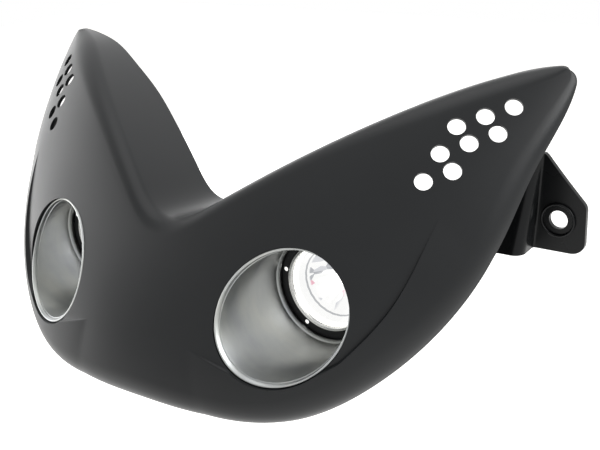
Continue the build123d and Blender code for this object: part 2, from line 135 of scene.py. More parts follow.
def grid_quads(rows: int, columns: int, wrap: Wrap) -> np.ndarray:
    """Corner numbers of the quads of a grid of points, stored row after row.

    Args:
        rows: Number of rows of points.
        columns: Number of points in a row.
        wrap: Which directions close on themselves.

    Returns:
        Array of quads, four corner numbers each.
    """
    wrap_rows, wrap_columns = wrap.value
    i = np.arange(rows if wrap_rows else rows - 1)[:, None]
    j = np.arange(columns if wrap_columns else columns - 1)[None, :]
    below, beside = (i + 1) % rows, (j + 1) % columns
    corners = [i * columns + j, i * columns + beside, below * columns + beside, below * columns + j]
    return np.stack([np.broadcast_to(c, (i.size, j.size)).ravel() for c in corners], axis=1)


def build_mesh(name: str, points: np.ndarray, faces: list, flat: bool = False) -> bpy.types.Object:
    """Puts arrays of points and faces into a new mesh object.

    Args:
        name: Name of the piece.
        points: Array of points, three numbers each.
        faces: Arrays of faces, all of one array with the same number of corners.
        flat: Leaves the faces flat instead of smooth.

    Returns:
        The object, with its doubles merged and its faces pointing outwards.
    """
    mesh = bpy.data.meshes.new(name)
    corners = np.concatenate([f.ravel() for f in faces]).astype(np.int32)
    sizes = np.concatenate([np.full(len(f), f.shape[1]) for f in faces])
    starts = np.concatenate(([0], np.cumsum(sizes)[:-1])).astype(np.int32)
    mesh.vertices.add(len(points))
    mesh.vertices.foreach_set("co", np.asarray(points, np.float32).ravel())
    mesh.loops.add(len(corners))
    mesh.loops.foreach_set("vertex_index", corners)
    mesh.polygons.add(len(sizes))
    mesh.polygons.foreach_set("loop_start", starts)
    mesh.update(calc_edges=True)
    mesh.validate()
    clean_mesh(mesh)
    mesh.polygons.foreach_set("use_smooth", np.full(len(mesh.polygons), not flat))
    made = bpy.data.objects.new(name, mesh)
    bpy.context.scene.collection.objects.link(made)
    return made


def clean_mesh(mesh: bpy.types.Mesh) -> None:
    """Merges doubles and turns the faces outwards.

    Args:
        mesh: The mesh, changed in place.
    """
    work = bmesh.new()
    work.from_mesh(mesh)
    bmesh.ops.remove_doubles(work, verts=work.verts, dist=MERGE)
    bmesh.ops.recalc_face_normals(work, faces=work.faces)
    work.to_mesh(mesh)
    work.free()


def turned_grid(profile: np.ndarray, side: Side, turns: int) -> np.ndarray:
    """Carries a profile round a lamp's axis.

    A point stands at x = lamp x + r cos t, z = lamp z + r sin t and y = mouth y + depth.

    Args:
        profile: Pairs of radius and depth behind the mouth, or one such list for each turn.
        side: Which lamp.
        turns: Number of steps round the axis.

    Returns:
        Array of points, turn after turn.
    """
    t = np.linspace(0.0, 2 * math.pi, turns, endpoint=False)[:, None]
    radius, depth = profile[..., 0], profile[..., 1]
    x = side.value * LAMP_X + radius * np.cos(t)
    z = LAMP_Z + radius * np.sin(t)
    return np.stack([x, np.broadcast_to(MOUTH_Y + depth, x.shape), z], axis=-1).reshape(-1, 3)


def turned(name: str, profile: np.ndarray, side: Side, turns: int,
           flat: bool = False) -> bpy.types.Object:
    """A piece turned round a lamp's axis from its closed profile.

    Args:
        name: Name of the piece.
        profile: Pairs of radius and depth behind the mouth, or one such list for each turn.
        side: Which lamp.
        turns: Number of steps round the axis.
        flat: Leaves the faces flat.

    Returns:
        The piece.
    """
    points = turned_grid(profile, side, turns)
    return build_mesh(name, points, [grid_quads(turns, profile.shape[-2], Wrap.BOTH)], flat)


def prisms(name: str, rings: np.ndarray, flat: bool) -> bpy.types.Object:
    """Closed prisms, each between two rings of points, as one mesh.

    The wall of a prism is the grid of its two rings, and one face closes each ring.

    Args:
        name: Name of the mesh.
        rings: Points by prism, end, step round the ring and coordinate.
        flat: Leaves the faces flat.

    Returns:
        The mesh object.
    """
    count, _, turns, _ = rings.shape
    first = (np.arange(count) * 2 * turns)[:, None, None]
    quads = (first + grid_quads(2, turns, Wrap.COLUMNS)[None]).reshape(-1, 4)
    caps = (first + np.arange(2 * turns).reshape(1, 2, turns)).reshape(-1, turns)
    return build_mesh(name, rings.reshape(-1, 3), [quads, caps], flat)


def rods(name: str, places: np.ndarray, axis: np.ndarray, radius: float, reach: tuple,
         turns: int) -> bpy.types.Object:
    """Straight round rods, all along one axis, as one mesh.

    A point of a ring stands at radius times (u cos t + v sin t), where u and v are square to the
    axis and to each other.

    Args:
        name: Name of the mesh.
        places: Point on each rod's axis.
        axis: Direction of the rods.
        radius: Their radius.
        reach: How far they run back and forward from their points.
        turns: Sides of a rod.

    Returns:
        The mesh object, with closed ends.
    """
    w = unit(axis)
    u = unit(np.cross(w, np.array([0.0, 0.3, 1.0])))
    v = np.cross(w, u)
    t = np.linspace(0.0, 2 * math.pi, turns, endpoint=False)
    ring = radius * (np.cos(t)[:, None] * u + np.sin(t)[:, None] * v)
    ends = np.array(reach)[:, None, None] * w + ring[None]
    return prisms(name, np.asarray(places)[:, None, None, :] + ends[None], flat=True)


def bake(piece: bpy.types.Object) -> None:
    """Applies the modifiers of a piece to its mesh.

    Args:
        piece: The piece, whose mesh is made anew.
    """
    graph = bpy.context.evaluated_depsgraph_get()
    solved = bpy.data.meshes.new_from_object(piece.evaluated_get(graph))
    piece.modifiers.clear()
    old = piece.data
    piece.data = solved
    bpy.data.meshes.remove(old)


def cut(piece: bpy.types.Object, cutter: bpy.types.Object) -> None:
    """Cuts solids out of a piece.

    Args:
        piece: The piece to cut.
        cutter: The solids to cut out, which are deleted.
    """
    change = piece.modifiers.new("cut", "BOOLEAN")
    change.operation = "DIFFERENCE"
    change.solver = "EXACT"
    change.object = cutter
    bake(piece)
    bpy.data.meshes.remove(cutter.data)


def sharp_above(piece: bpy.types.Object, degrees: float) -> None:
    """Marks the edges sharp whose faces meet at more than an angle, and smooths the rest.

    Args:
        piece: The piece.
        degrees: The angle.
    """
    mesh = piece.data
    work = bmesh.new()
    work.from_mesh(mesh)
    limit = math.radians(degrees)
    for edge in work.edges:
        edge.smooth = len(edge.link_faces) == 2 and edge.calc_face_angle(0.0) < limit
    for face in work.faces:
        face.smooth = True
    work.to_mesh(mesh)
    work.free()


def join(piece: bpy.types.Object, other: bpy.types.Object) -> None:
    """Adds another mesh to a piece.

    Args:
        piece: The piece that grows.
        other: The object whose mesh it takes, which is deleted.
    """
    work = bmesh.new()
    work.from_mesh(piece.data)
    work.from_mesh(other.data)
    work.to_mesh(piece.data)
    work.free()
    bpy.data.meshes.remove(other.data)


def boss_places(side: Side) -> np.ndarray:
    """X and Z of the three screw bosses round a lamp, evenly round a circle."""
    turn = np.radians(BOSS_ANGLES)
    x = side.value * (LAMP_X + BOSS_CIRCLE * np.cos(turn))
    return np.stack([x, LAMP_Z + BOSS_CIRCLE * np.sin(turn)], axis=1)


def finish_piece(piece: bpy.types.Object, material: bpy.types.Material, slot: str, *nodes: str) -> None:
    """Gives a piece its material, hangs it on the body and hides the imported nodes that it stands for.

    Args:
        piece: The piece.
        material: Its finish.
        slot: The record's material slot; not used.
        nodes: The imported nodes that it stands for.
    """
    piece.data.materials.clear()
    piece.data.materials.append(material)
    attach(piece, BODY)
    if nodes:
        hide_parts(*nodes)
    LOG.info("%s: %d faces", piece.name, len(piece.data.polygons))


def dress(node: str, material: bpy.types.Material) -> None:
    """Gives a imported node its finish.

    Args:
        node: Name of the node.
        material: The finish.
    """
    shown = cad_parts[node]
    shown.data.materials.clear()
    shown.data.materials.append(material)
    LOG.info("%s: dressed", node)


@dataclass(frozen=True)
class MaskShape:
    """The mask's surface as formulas, in metres.

    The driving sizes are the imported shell's, apart from the wider fold, the rounded flange corner,
    the tip's trim and the lower, fuller cheek band, which follow the photograph more closely. The
    surface is a row of sections in planes through an axis that runs along Y, high above the lamps.
    Each section has a flange, a fold, the face, a roll and a short lip.
    """

    nose_ahead: float = 0.0171
    lean: float = 0.511
    bow: float = 3.67
    sweep: float = 1.524
    ease: float = 13.9
    lift: float = 21.9
    hook: float = 31.9
    valley_height: float = 0.0368
    brow_points: tuple = ((0.0305, 0.0496), (0.083, 0.0803), (0.1423, 0.1055))
    chin_drop: float = 0.0583
    rim_points: tuple = ((0.0598, -0.0587), (0.0915, -0.0532), (0.1275, -0.0322), (0.1553, -0.0031),
                         (0.1725, 0.0308), (0.1808, 0.069))
    tip_centre: tuple = (0.1798, 0.1051)
    tip_radius: float = 0.0089
    tip_droop: float = math.radians(8.0)
    tip_trim: float = math.radians(0.02)
    flange_valley: float = 0.0652
    flange_points: tuple = ((0.034, 0.0794), (0.064, 0.0979), (0.093, 0.1137), (0.120, 0.1241),
                            (0.150, 0.1342))
    flange_tip: tuple = (0.184, 0.140)
    flange_heading: tuple = (1, 0.55)
    flange_fall: float = math.radians(6.0)
    corner_start: float = 0.166
    corner_drop: float = 0.007
    wall: float = 0.003
    fold_radius: float = 0.016
    roll_radius: float = 0.017
    roll_end: float = math.radians(66.0)
    rim_lip: float = 0.0025
    fan_height: float = 0.200
    blend_span: float = 0.045
    cheek_points: tuple = ((0.033, -0.0175), (0.065, -0.0275), (0.100, -0.031), (0.122, -0.0125),
                           (0.137, 0.010), (0.150, 0.055))
    cheek_height: float = 0.0031
    cheek_sink: float = 0.0006
    cheek_edge: float = 0.0010
    cheek_fullness: float = 0.85
    cheek_margin: float = 0.05
    guide_samples: int = 4000
    tip_samples: int = 400
    inset_rounds: int = 3
    slope_step: float = 5e-5

    def depth(self, x: np.ndarray, h: np.ndarray) -> np.ndarray:
        """Y of the front surface.

        The centre line is a parabola in h. To its sides the surface falls back with the square of
        x, less so higher up, and with a little of its fourth power.

        Args:
            x: Distance from the middle.
            h: Height above the lamp axes.

        Returns:
            Y at each point.
        """
        line = MOUTH_Y - self.nose_ahead + self.lean * h + self.bow * h**2
        return line + x**2 * (self.sweep - self.ease * h + self.lift * h**2) + self.hook * x**4

    def slopes(self, x: float, h: float) -> tuple:
        """How fast the front surface falls back along X and along Z."""
        e = self.slope_step
        return ((self.depth(x + e, h) - self.depth(x - e, h)) / (2 * e),
                (self.depth(x, h + e) - self.depth(x, h - e)) / (2 * e))

    def fan_depth(self, angle: np.ndarray, reach: np.ndarray) -> np.ndarray:
        """Y of the front surface at an angle about the fan axis and a distance from it."""
        return self.depth(reach * np.sin(angle), self.fan_height - reach * np.cos(angle))

    def heading(self, angle: np.ndarray, reach: np.ndarray) -> np.ndarray:
        """Heading of the front surface in its section, from the outward ray."""
        e = self.slope_step
        return np.arctan2(self.fan_depth(angle, reach + e) - self.fan_depth(angle, reach - e), 2 * e)

    @property
    def tip_angle(self) -> float:
        """Angle about the fan axis at which the ray only touches the round tip."""
        x, z = self.tip_centre
        reach = math.hypot(x, self.fan_height - z)
        return math.atan2(x, self.fan_height - z) + math.asin(self.tip_radius / reach)

    def tip_arc(self, turns: np.ndarray) -> np.ndarray:
        """Points of the round tip, by their angles from +X."""
        return np.stack([self.tip_centre[0] + self.tip_radius * np.cos(turns),
                         self.tip_centre[1] + self.tip_radius * np.sin(turns)], axis=1)

    def guide(self, points: list, first: tuple, last: tuple, turns: np.ndarray) -> tuple:
        """A guide curve as its angles about the fan axis and its distances from it.

        Args:
            points: Points of the guide, from the middle to the round tip.
            first: Heading in the middle.
            last: Heading where the round tip starts.
            turns: Angles of the round tip's own points, which follow.

        Returns:
            Rising angles and the distance at each.
        """
        curve = clamped_spline(points, first, last, self.guide_samples)
        if len(turns):
            curve = np.concatenate([curve, self.tip_arc(turns)])
        angle = np.arctan2(curve[:, 0], self.fan_height - curve[:, 1])
        order = np.argsort(angle, kind="stable")
        return angle[order], np.hypot(curve[:, 0], self.fan_height - curve[:, 1])[order]

    def brow(self, angle: np.ndarray) -> np.ndarray:
        """Distance from the fan axis to the brow, a curve that runs into the round tip.

        Args:
            angle: Angles about the fan axis.

        Returns:
            The distance at each angle.
        """
        droop = self.tip_droop
        start = self.tip_arc(np.array([math.pi / 2 + droop]))[0]
        points = [(0.0, self.valley_height), *self.brow_points, tuple(start)]
        turns = np.linspace(math.pi / 2 + droop, self.tip_angle, self.tip_samples)
        return np.interp(angle, *self.guide(points, (1, 0), (math.cos(droop), math.sin(droop)), turns))

    def rim(self, angle: np.ndarray) -> np.ndarray:
        """Distance from the fan axis to the lower rim, a curve that runs into the round tip.

        Args:
            angle: Angles about the fan axis.

        Returns:
            The distance at each angle.
        """
        start = (self.tip_centre[0] + self.tip_radius, self.tip_centre[1])
        points = [(0.0, -self.chin_drop), *self.rim_points, start]
        turns = np.linspace(0.0, self.tip_angle, self.tip_samples)
        return np.interp(angle, *self.guide(points, (1, 0), (0, 1), turns))

    def cheek(self, angle: np.ndarray) -> tuple:
        """The cheek line, and how high the band below it stands.

        The band rises and fades between the ends of the line with half a sine wave, raised to a
        power under one that keeps it full towards its ends.

        Args:
            angle: Angles about the fan axis.

        Returns:
            Distance from the fan axis to the line and height of the band, at each angle.
        """
        points = np.array(self.cheek_points)
        first, last = points[1] - points[0], points[-1] - points[-2]
        angles, reaches = self.guide(list(points), tuple(first), tuple(last), np.array([]))
        share = np.clip((angle - angles[0]) / (angles[-1] - angles[0]), 0.0, 1.0)
        wave = np.maximum(np.sin(math.pi * share), 0.0) ** self.cheek_fullness
        height = (self.cheek_height + self.cheek_sink) * wave - self.cheek_sink
        return np.interp(angle, angles, reaches), np.maximum(height, 0.0)

    def flange_depth(self, x: np.ndarray) -> np.ndarray:
        """Y of the top flange's rear edge, a curve whose corner at the tip is a quarter ellipse.

        Args:
            x: Distance from the middle, at each place.

        Returns:
            Y at each place.
        """
        points = [(0.0, self.flange_valley), *self.flange_points, self.flange_tip]
        curve = clamped_spline(points, (1, 0), self.flange_heading, self.guide_samples)
        last = self.tip_centre[0] + self.tip_radius * math.cos(self.tip_angle)
        span = last - self.corner_start
        across = np.clip((x - self.corner_start) / span, 0.0, 1.0)
        rounded = self.corner_drop * (1.0 - np.sqrt(1.0 - across**2))
        return MOUTH_Y + np.interp(x, curve[:, 0], curve[:, 1]) - rounded

    def roll_start(self, angle: np.ndarray, edge: np.ndarray, roll: np.ndarray) -> np.ndarray:
        """Distance from the fan axis at which the face ends and the roll starts."""
        # The face's heading there is taken half the roll's radius above the rim.
        return edge - roll * (math.sin(self.roll_end) - np.sin(self.heading(angle, edge - roll / 2)))

    def arc_centre(self, angle: np.ndarray, reach: np.ndarray, radius: np.ndarray) -> tuple:
        """Distance from the fan axis and Y of the centre of an arc that touches the face."""
        turn = self.heading(angle, reach)
        return reach - radius * np.sin(turn), self.fan_depth(angle, reach) + radius * np.cos(turn)

    def sections(self, angle: np.ndarray, inset: float, shares: dict, cheeks: bool) -> np.ndarray:
        """Points of the surface for a row of sections.

        Flange and lip are straight lines, fold and roll are arcs about their own centres, and the
        face follows the front surface. All are set in by the same distance, square to themselves,
        less the height of the cheek band where it is wanted.

        Args:
            angle: Angles of the sections about the fan axis.
            inset: Distance behind the outer surface.
            shares: Places along the flange, fold, face, band, roll and lip, from 0 to 1.
            cheeks: Adds the cheek bands.

        Returns:
            Array of sections, points and three numbers.
        """
        a = np.asarray(angle)[:, None]
        side = np.abs(a)
        top, edge = self.brow(side), self.rim(side)
        shrink = np.tanh((edge - top) / self.blend_span)
        fold, roll = self.fold_radius * shrink, self.roll_radius * shrink
        down = -math.pi / 2 - self.flange_fall
        # The face's heading at the fold is taken a third of the fold's radius below the brow.
        start = top + fold * (np.sin(self.heading(a, top + fold / 3)) - math.sin(down))
        end = self.roll_start(a, edge, roll)
        start_turn, end_turn = self.heading(a, start), self.heading(a, end)
        line, height = self.cheek(side)
        if not cheeks:
            height = 0.0 * height
        margin = self.cheek_margin * (end - start)
        line = np.clip(line, start + margin, end - margin - self.cheek_edge)

        fold_centre = self.arc_centre(a, start, fold)
        turn = down + shares["fold"] * (start_turn - down)
        parts = [(fold_centre[0] - (inset - fold) * np.sin(turn),
                  fold_centre[1] + (inset - fold) * np.cos(turn))]
        corner_r, corner_y = parts[0][0][:, :1], parts[0][1][:, :1]
        back = self.flange_depth(top * np.sin(side))
        back_r = corner_r - (back - corner_y) * math.cos(down) / -math.sin(down)
        parts.insert(0, (back_r + shares["flange"] * (corner_r - back_r),
                         back + shares["flange"] * (corner_y - back)))

        beyond = line + self.cheek_edge
        reach = np.concatenate([start + shares["face"] * (line - start),
                                line + shares["band"] * self.cheek_edge,
                                beyond + shares["face"] * (end - beyond)], axis=1)
        turn = self.heading(a, reach)
        set_in = inset - height * smooth_step((reach - line) / self.cheek_edge)
        parts.append((reach - set_in * np.sin(turn), self.fan_depth(a, reach) + set_in * np.cos(turn)))

        roll_centre = self.arc_centre(a, end, roll)
        turn = end_turn + shares["roll"] * (self.roll_end - end_turn)
        set_in = inset - height - roll
        parts.append((roll_centre[0] - set_in * np.sin(turn), roll_centre[1] + set_in * np.cos(turn)))
        lip = shares["lip"] * self.rim_lip * shrink
        rim_r, rim_y = parts[-1][0][:, -1:], parts[-1][1][:, -1:]
        parts.append((rim_r + lip * math.cos(self.roll_end), rim_y + lip * math.sin(self.roll_end)))

        r = np.concatenate([p[0] for p in parts], axis=1)
        y = np.concatenate([p[1] for p in parts], axis=1)
        return np.stack([r * np.sin(a), y, LAMP_Z + self.fan_height - r * np.cos(a)], axis=-1)

    def behind(self, x: np.ndarray, z: np.ndarray, inset: float) -> np.ndarray:
        """Y of the face and the roll, set in by a distance, anywhere in the front view.

        The section through the point gives the surface as the face, or as the roll's circle, by how
        far the point lies from the fan axis. The point of the face whose inset copy lies there is
        found by a few rounds of moving along the ray by the inset times the sine of the heading.

        Args:
            x: X of the points.
            z: Z of the points.
            inset: Distance behind the outer surface.

        Returns:
            Y of each point.
        """
        h = z - LAMP_Z
        a, r = np.arctan2(x, self.fan_height - h), np.hypot(x, self.fan_height - h)
        side = np.abs(a)
        top, edge = self.brow(side), self.rim(side)
        shrink = np.tanh((edge - top) / self.blend_span)
        roll = self.roll_radius * shrink
        end = self.roll_start(a, edge, roll)
        face_r = r
        for _ in range(self.inset_rounds):
            face_r = r + inset * np.sin(self.heading(a, face_r))
        turn = self.heading(a, face_r)
        face = self.fan_depth(a, face_r) + inset * np.cos(turn)
        centre_r, centre_y = self.arc_centre(a, end, roll)
        across = np.clip((r - centre_r) / (roll - inset), -1.0, 1.0)
        rolled = centre_y - (roll - inset) * np.sqrt(1.0 - across**2)
        return np.where(face_r < end, face, rolled)


def section_shares(flange: int, fold: int, face: int, band: np.ndarray, roll: int) -> dict:
    """Places of a section's points along its stretches, from 0 to 1.

    Args:
        flange: Points of the flange, with the fold's first point, which is left to the fold.
        fold: Points of the fold.
        face: Points of each of the face's two parts, with their ends, which are left to others.
        band: Places on the slope of the cheek band.
        roll: Points of the roll.

    Returns:
        The places by stretch.
    """
    return {"flange": np.linspace(0, 1, flange)[:-1], "fold": np.linspace(0, 1, fold),
            "face": np.linspace(0, 1, face)[1:-1], "band": band,
            "roll": np.linspace(0, 1, roll), "lip": np.array([0.5, 1.0])}


@dataclass
class MaskShell:
    """The moulded shell with its ears and lamp collars, in metres."""

    shape: MaskShape
    plastic: bpy.types.Material
    ear_shaded_plastic: bpy.types.Material
    columns: int = 361
    inner_stop: float = 2.0
    vent_diameter: float = 0.0097
    vent_middle: tuple = (0.1523, 0.0823)
    vent_row_slope: float = math.radians(19.6)
    vent_pitch: float = 0.0159
    vent_row_shift: float = 0.01335
    vent_row_gap: float = 0.0111
    vent_rows: tuple = ((0, 3), (0, 3), (1, 3))
    vent_drill: float = 0.014
    ear_hole_spacing: float = 0.374
    ear_hole: float = 0.0105
    ear_thickness: float = 0.003
    ear_outboard: float = 0.0153
    ear_below: float = 0.0185
    ear_shoulder: float = 0.0095
    ear_peak: float = 0.0365
    ear_peak_inboard: float = 0.0085
    ear_corner: float = 0.007
    ear_fold_low: float = 0.0125
    ear_fold_high: float = 0.009
    ear_step_low: float = 0.0175
    ear_step_high: float = 0.002
    ear_inner_bend: float = 0.0012
    ear_outer_bend: float = 0.0064
    ear_web_bend: float = 0.005
    ear_web_inboard: float = 0.031
    ear_rim: float = 0.0196
    ear_rim_width: float = 0.0015
    ear_rim_height: float = 0.0018
    ear_rim_root: float = 0.001
    ear_drill: float = 0.02
    collar_wall: float = 0.003
    collar_end: float = 0.034
    boss_radius: float = 0.0044

    def skin(self) -> bpy.types.Object:
        """The shell: an outer and an inner surface, joined along the rear edges and the tips.

        The sections stand at the tip's angle times the sine of an even row from -90 to 90 degrees,
        so they are closest at the tips. The inner surface stops some walls short of the tip.

        Returns:
            The closed mesh object.
        """
        shape = self.shape
        outer_shares = section_shares(flange=13, fold=15, face=25, band=np.linspace(0, 1, 9), roll=19)
        inner_shares = section_shares(flange=9, fold=9, face=17, band=np.array([0.5]), roll=13)
        spread = np.sin(np.linspace(-1, 1, self.columns) * math.pi / 2)
        reach = math.hypot(shape.tip_centre[0], shape.fan_height - shape.tip_centre[1])
        last = shape.tip_angle - self.inner_stop * shape.wall / reach
        outer = shape.sections(spread * (shape.tip_angle - shape.tip_trim), 0.0, outer_shares, True)
        inner = shape.sections(spread * last, shape.wall, inner_shares, False)
        n, m, k = self.columns, outer.shape[1], inner.shape[1]
        inside = n * m
        outer_ids = np.arange(inside).reshape(n, m)
        inner_ids = inside + np.arange(n * k).reshape(n, k)
        faces = [grid_quads(n, m, Wrap.OPEN), grid_quads(n, k, Wrap.OPEN)[:, ::-1] + inside]
        for row_out, row_in in ((outer_ids[:, 0], inner_ids[:, 0]), (outer_ids[:, -1], inner_ids[:, -1])):
            faces.append(np.stack([row_out[:-1], row_out[1:], row_in[1:], row_in[:-1]], axis=1))
        for end in (0, -1):
            faces += [outer_ids[end][None], inner_ids[end][None],
                      np.array([[outer_ids[end][0], outer_ids[end][-1], inner_ids[end][-1],
                                 inner_ids[end][0]]])]
        points = np.concatenate([outer.reshape(-1, 3), inner.reshape(-1, 3)])
        return build_mesh("mask_skin", points, faces)

    def vent_places(self) -> tuple:
        """The vent holes of the left wing: slanted rows on the plane that touches the wing there.

        Returns:
            Middles of the holes, and the outward direction that they are drilled along.
        """
        x, h = self.vent_middle
        along_x, along_z = self.shape.slopes(x, h)
        turn = self.vent_row_slope
        out = unit(np.array([along_x, -1.0, along_z]))
        across = unit(np.array([math.cos(turn), along_x * math.cos(turn) + along_z * math.sin(turn),
                                math.sin(turn)]))
        up = np.cross(out, across)
        steps = np.array([((1 - column) * self.vent_pitch + (1 - row) * self.vent_row_shift,
                           (1 - row) * self.vent_row_gap)
                          for row, (first, last) in enumerate(self.vent_rows)
                          for column in range(first, last)])
        middle = np.array([x, self.shape.depth(x, h), LAMP_Z + h])
        return middle + steps[:, :1] * across + steps[:, 1:] * up, out

    def make_skin(self) -> None:
        """Builds the shell, cuts the vent holes and the lamp openings, and dresses it."""
        skin = self.skin()
        places, out = self.vent_places()
        for side in Side:
            mirror = np.array([side.value, 1, 1])
            cut(skin, rods("drill", places * mirror, out * mirror, self.vent_diameter / 2,
                           reach=(-self.vent_drill, self.vent_drill), turns=48))
            mouth = np.array([[side.value * LAMP_X, MOUTH_Y, LAMP_Z]])
            cut(skin, rods("drill", mouth, BACKWARD, LAMP_OPENING / 2,
                           reach=(-LAMP_OPENING, LAMP_OPENING), turns=160))
        sharp_above(skin, degrees=32.0)
        finish_piece(skin, self.plastic, "mask_plastic", "mask_shell")

    def make_collar(self, side: Side) -> None:
        """Collar and screw bosses behind one opening, from their rear faces into the wall.

        The collar's four rings stand at x = lamp x + r cos t and z = lamp z + r sin t. The front two
        lie in the middle of the mask's wall, and the rear two at the collar's end.

        Args:
            side: Which lamp.
        """
        turns = 128
        radii = np.array([0.0, 0.0, self.collar_wall, self.collar_wall]) + LAMP_OPENING / 2
        t = np.linspace(0.0, 2 * math.pi, turns, endpoint=False)[:, None]
        x = side.value * LAMP_X + radii * np.cos(t)
        z = LAMP_Z + radii * np.sin(t)
        y = self.shape.behind(x, z, self.shape.wall / 2)
        y[:, 1:3] = MOUTH_Y + self.collar_end
        points = np.stack([x, y, z], axis=-1).reshape(-1, 3)
        collar = build_mesh(f"lamp_collar_{side.word}", points, [grid_quads(turns, 4, Wrap.BOTH)])
        join(collar, self.boss_mesh(side))
        sharp_above(collar, degrees=32.0)
        finish_piece(collar, self.plastic, "mask_plastic")

    def boss_mesh(self, side: Side) -> bpy.types.Object:
        """The three screw bosses of one lamp, each a round rod whose front lies in the wall.

        Args:
            side: Which lamp.

        Returns:
            The mesh object.
        """
        turns = 40
        places = boss_places(side)
        t = np.linspace(0.0, 2 * math.pi, turns, endpoint=False)
        x = places[:, :1] + self.boss_radius * np.cos(t)
        z = places[:, 1:] + self.boss_radius * np.sin(t)
        front = self.shape.behind(x, z, self.shape.wall / 2)
        back = np.full_like(front, MOUTH_Y + self.collar_end)
        rings = np.stack([np.stack([x, y, z], axis=-1) for y in (front, back)], axis=1)
        return prisms("bosses", rings, flat=False)

    def ear_top(self, x: np.ndarray) -> np.ndarray:
        """Height of the ear's upper edge: level inboard, then a slant, then a round corner.

        The corner is a circle that touches the slant and the upright outer edge.

        Args:
            x: Distance from the middle, at each place.

        Returns:
            Height at each place.
        """
        edge = self.ear_hole_spacing / 2 + self.ear_outboard
        slope = (self.ear_peak - self.ear_shoulder) / (self.ear_outboard + self.ear_peak_inboard)
        turn = math.pi / 2 - math.atan(slope)
        radius = self.ear_corner
        across = np.clip(x - (edge - radius), 0.0, radius)
        arc = self.ear_shoulder - radius * math.tan(turn / 2) + np.sqrt(radius**2 - across**2)
        straight = np.minimum(self.ear_peak, self.ear_shoulder + (edge - x) * slope)
        return np.where(across > radius * math.cos(turn), arc, straight)

    def ear_bottom(self, x: np.ndarray) -> np.ndarray:
        """Height of the ear's lower edge: level, with a quarter circle at the outer corner.

        Args:
            x: Distance from the middle, at each place.

        Returns:
            Height at each place.
        """
        radius = self.ear_corner
        across = np.clip(x - (self.ear_hole_spacing / 2 + self.ear_outboard - radius), 0.0, radius)
        return -self.ear_below + radius - np.sqrt(radius**2 - across**2)

    def ear_front(self, up: np.ndarray, high: np.ndarray, low: np.ndarray, shares: dict) -> tuple:
        """Front face of the ear, height by height: plate, joggle, shelf and web in one line.

        The plate turns forward through an arc, runs straight to a second arc that turns it back
        into the shelf, and a third arc turns the shelf into the web, which ends in the wing's wall.
        Both arcs of the joggle turn through the angle whose versed sine is the step over the sum of
        their radii, and through a right angle where the step is longer than that sum.

        Args:
            up: Share of the height, row by row.
            high: Upper edge of each column.
            low: Lower edge of each column.
            shares: Places along each stretch, from 0 to 1.

        Returns:
            X, Y, Z of the points, and the angle of the face's normal from -Y to +X.
        """
        hole_x = self.ear_hole_spacing / 2
        z = low + up * (high - low)
        t = np.clip((z + self.ear_below) / (self.ear_peak + self.ear_below), 0.0, 1.0)
        fold = hole_x - self.ear_fold_low + t * (self.ear_fold_low - self.ear_fold_high)
        step = self.ear_step_low + t * (self.ear_step_high - self.ear_step_low)
        inner, outer, bend = self.ear_inner_bend, self.ear_outer_bend, self.ear_web_bend
        turn = np.arccos(np.clip(1.0 - step / (inner + outer), 0.0, 1.0))
        straight = np.maximum(step - inner - outer, 0.0)
        plate_y, edge = -self.ear_thickness, hole_x + self.ear_outboard
        web_x = hole_x - self.ear_web_inboard
        wall_x = fold - inner * np.sin(turn)
        wall_y = plate_y - inner * (1.0 - np.cos(turn))
        shelf_x, shelf_y = fold - (inner + outer) * np.sin(turn), plate_y - step
        wing_y = self.shape.behind(np.full_like(z, web_x), z, self.shape.wall / 2)

        def stretch(name: str) -> tuple:
            """Columns of a stretch, and the places of its points along it."""
            names = list(shares)
            first = sum(len(shares[n]) for n in names[:names.index(name)])
            return slice(first, first + len(shares[name])), shares[name][None]

        x, y, angle = np.zeros_like(z), np.zeros_like(z), np.zeros_like(z)
        at, s = stretch("plate")
        x[:, at], y[:, at] = edge - (edge - fold[:, at]) * s**2, plate_y
        at, s = stretch("inner")
        angle[:, at] = s * turn[:, at]
        x[:, at] = fold[:, at] - inner * np.sin(angle[:, at])
        y[:, at] = plate_y - inner * (1.0 - np.cos(angle[:, at]))
        at, s = stretch("wall")
        x[:, at], y[:, at], angle[:, at] = wall_x[:, at], wall_y[:, at] - s * straight[:, at], turn[:, at]
        at, s = stretch("outer")
        angle[:, at] = (1.0 - s) * turn[:, at]
        x[:, at] = wall_x[:, at] - outer * (np.sin(turn[:, at]) - np.sin(angle[:, at]))
        y[:, at] = (wall_y[:, at] - straight[:, at]
                    - outer * (np.cos(angle[:, at]) - np.cos(turn[:, at])))
        at, s = stretch("shelf")
        x[:, at] = shelf_x[:, at] + s * (web_x + bend - shelf_x[:, at])
        y[:, at] = shelf_y[:, at]
        at, s = stretch("bend")
        angle[:, at] = s * math.pi / 2
        x[:, at] = web_x + bend * (1.0 - np.sin(angle[:, at]))
        y[:, at] = shelf_y[:, at] - bend * (1.0 - np.cos(angle[:, at]))
        at, s = stretch("web")
        root = shelf_y[:, at] - bend
        x[:, at], angle[:, at] = web_x, math.pi / 2
        y[:, at] = root + s * (np.minimum(wing_y[:, at], root - self.ear_thickness) - root)
        return x, y, z, angle

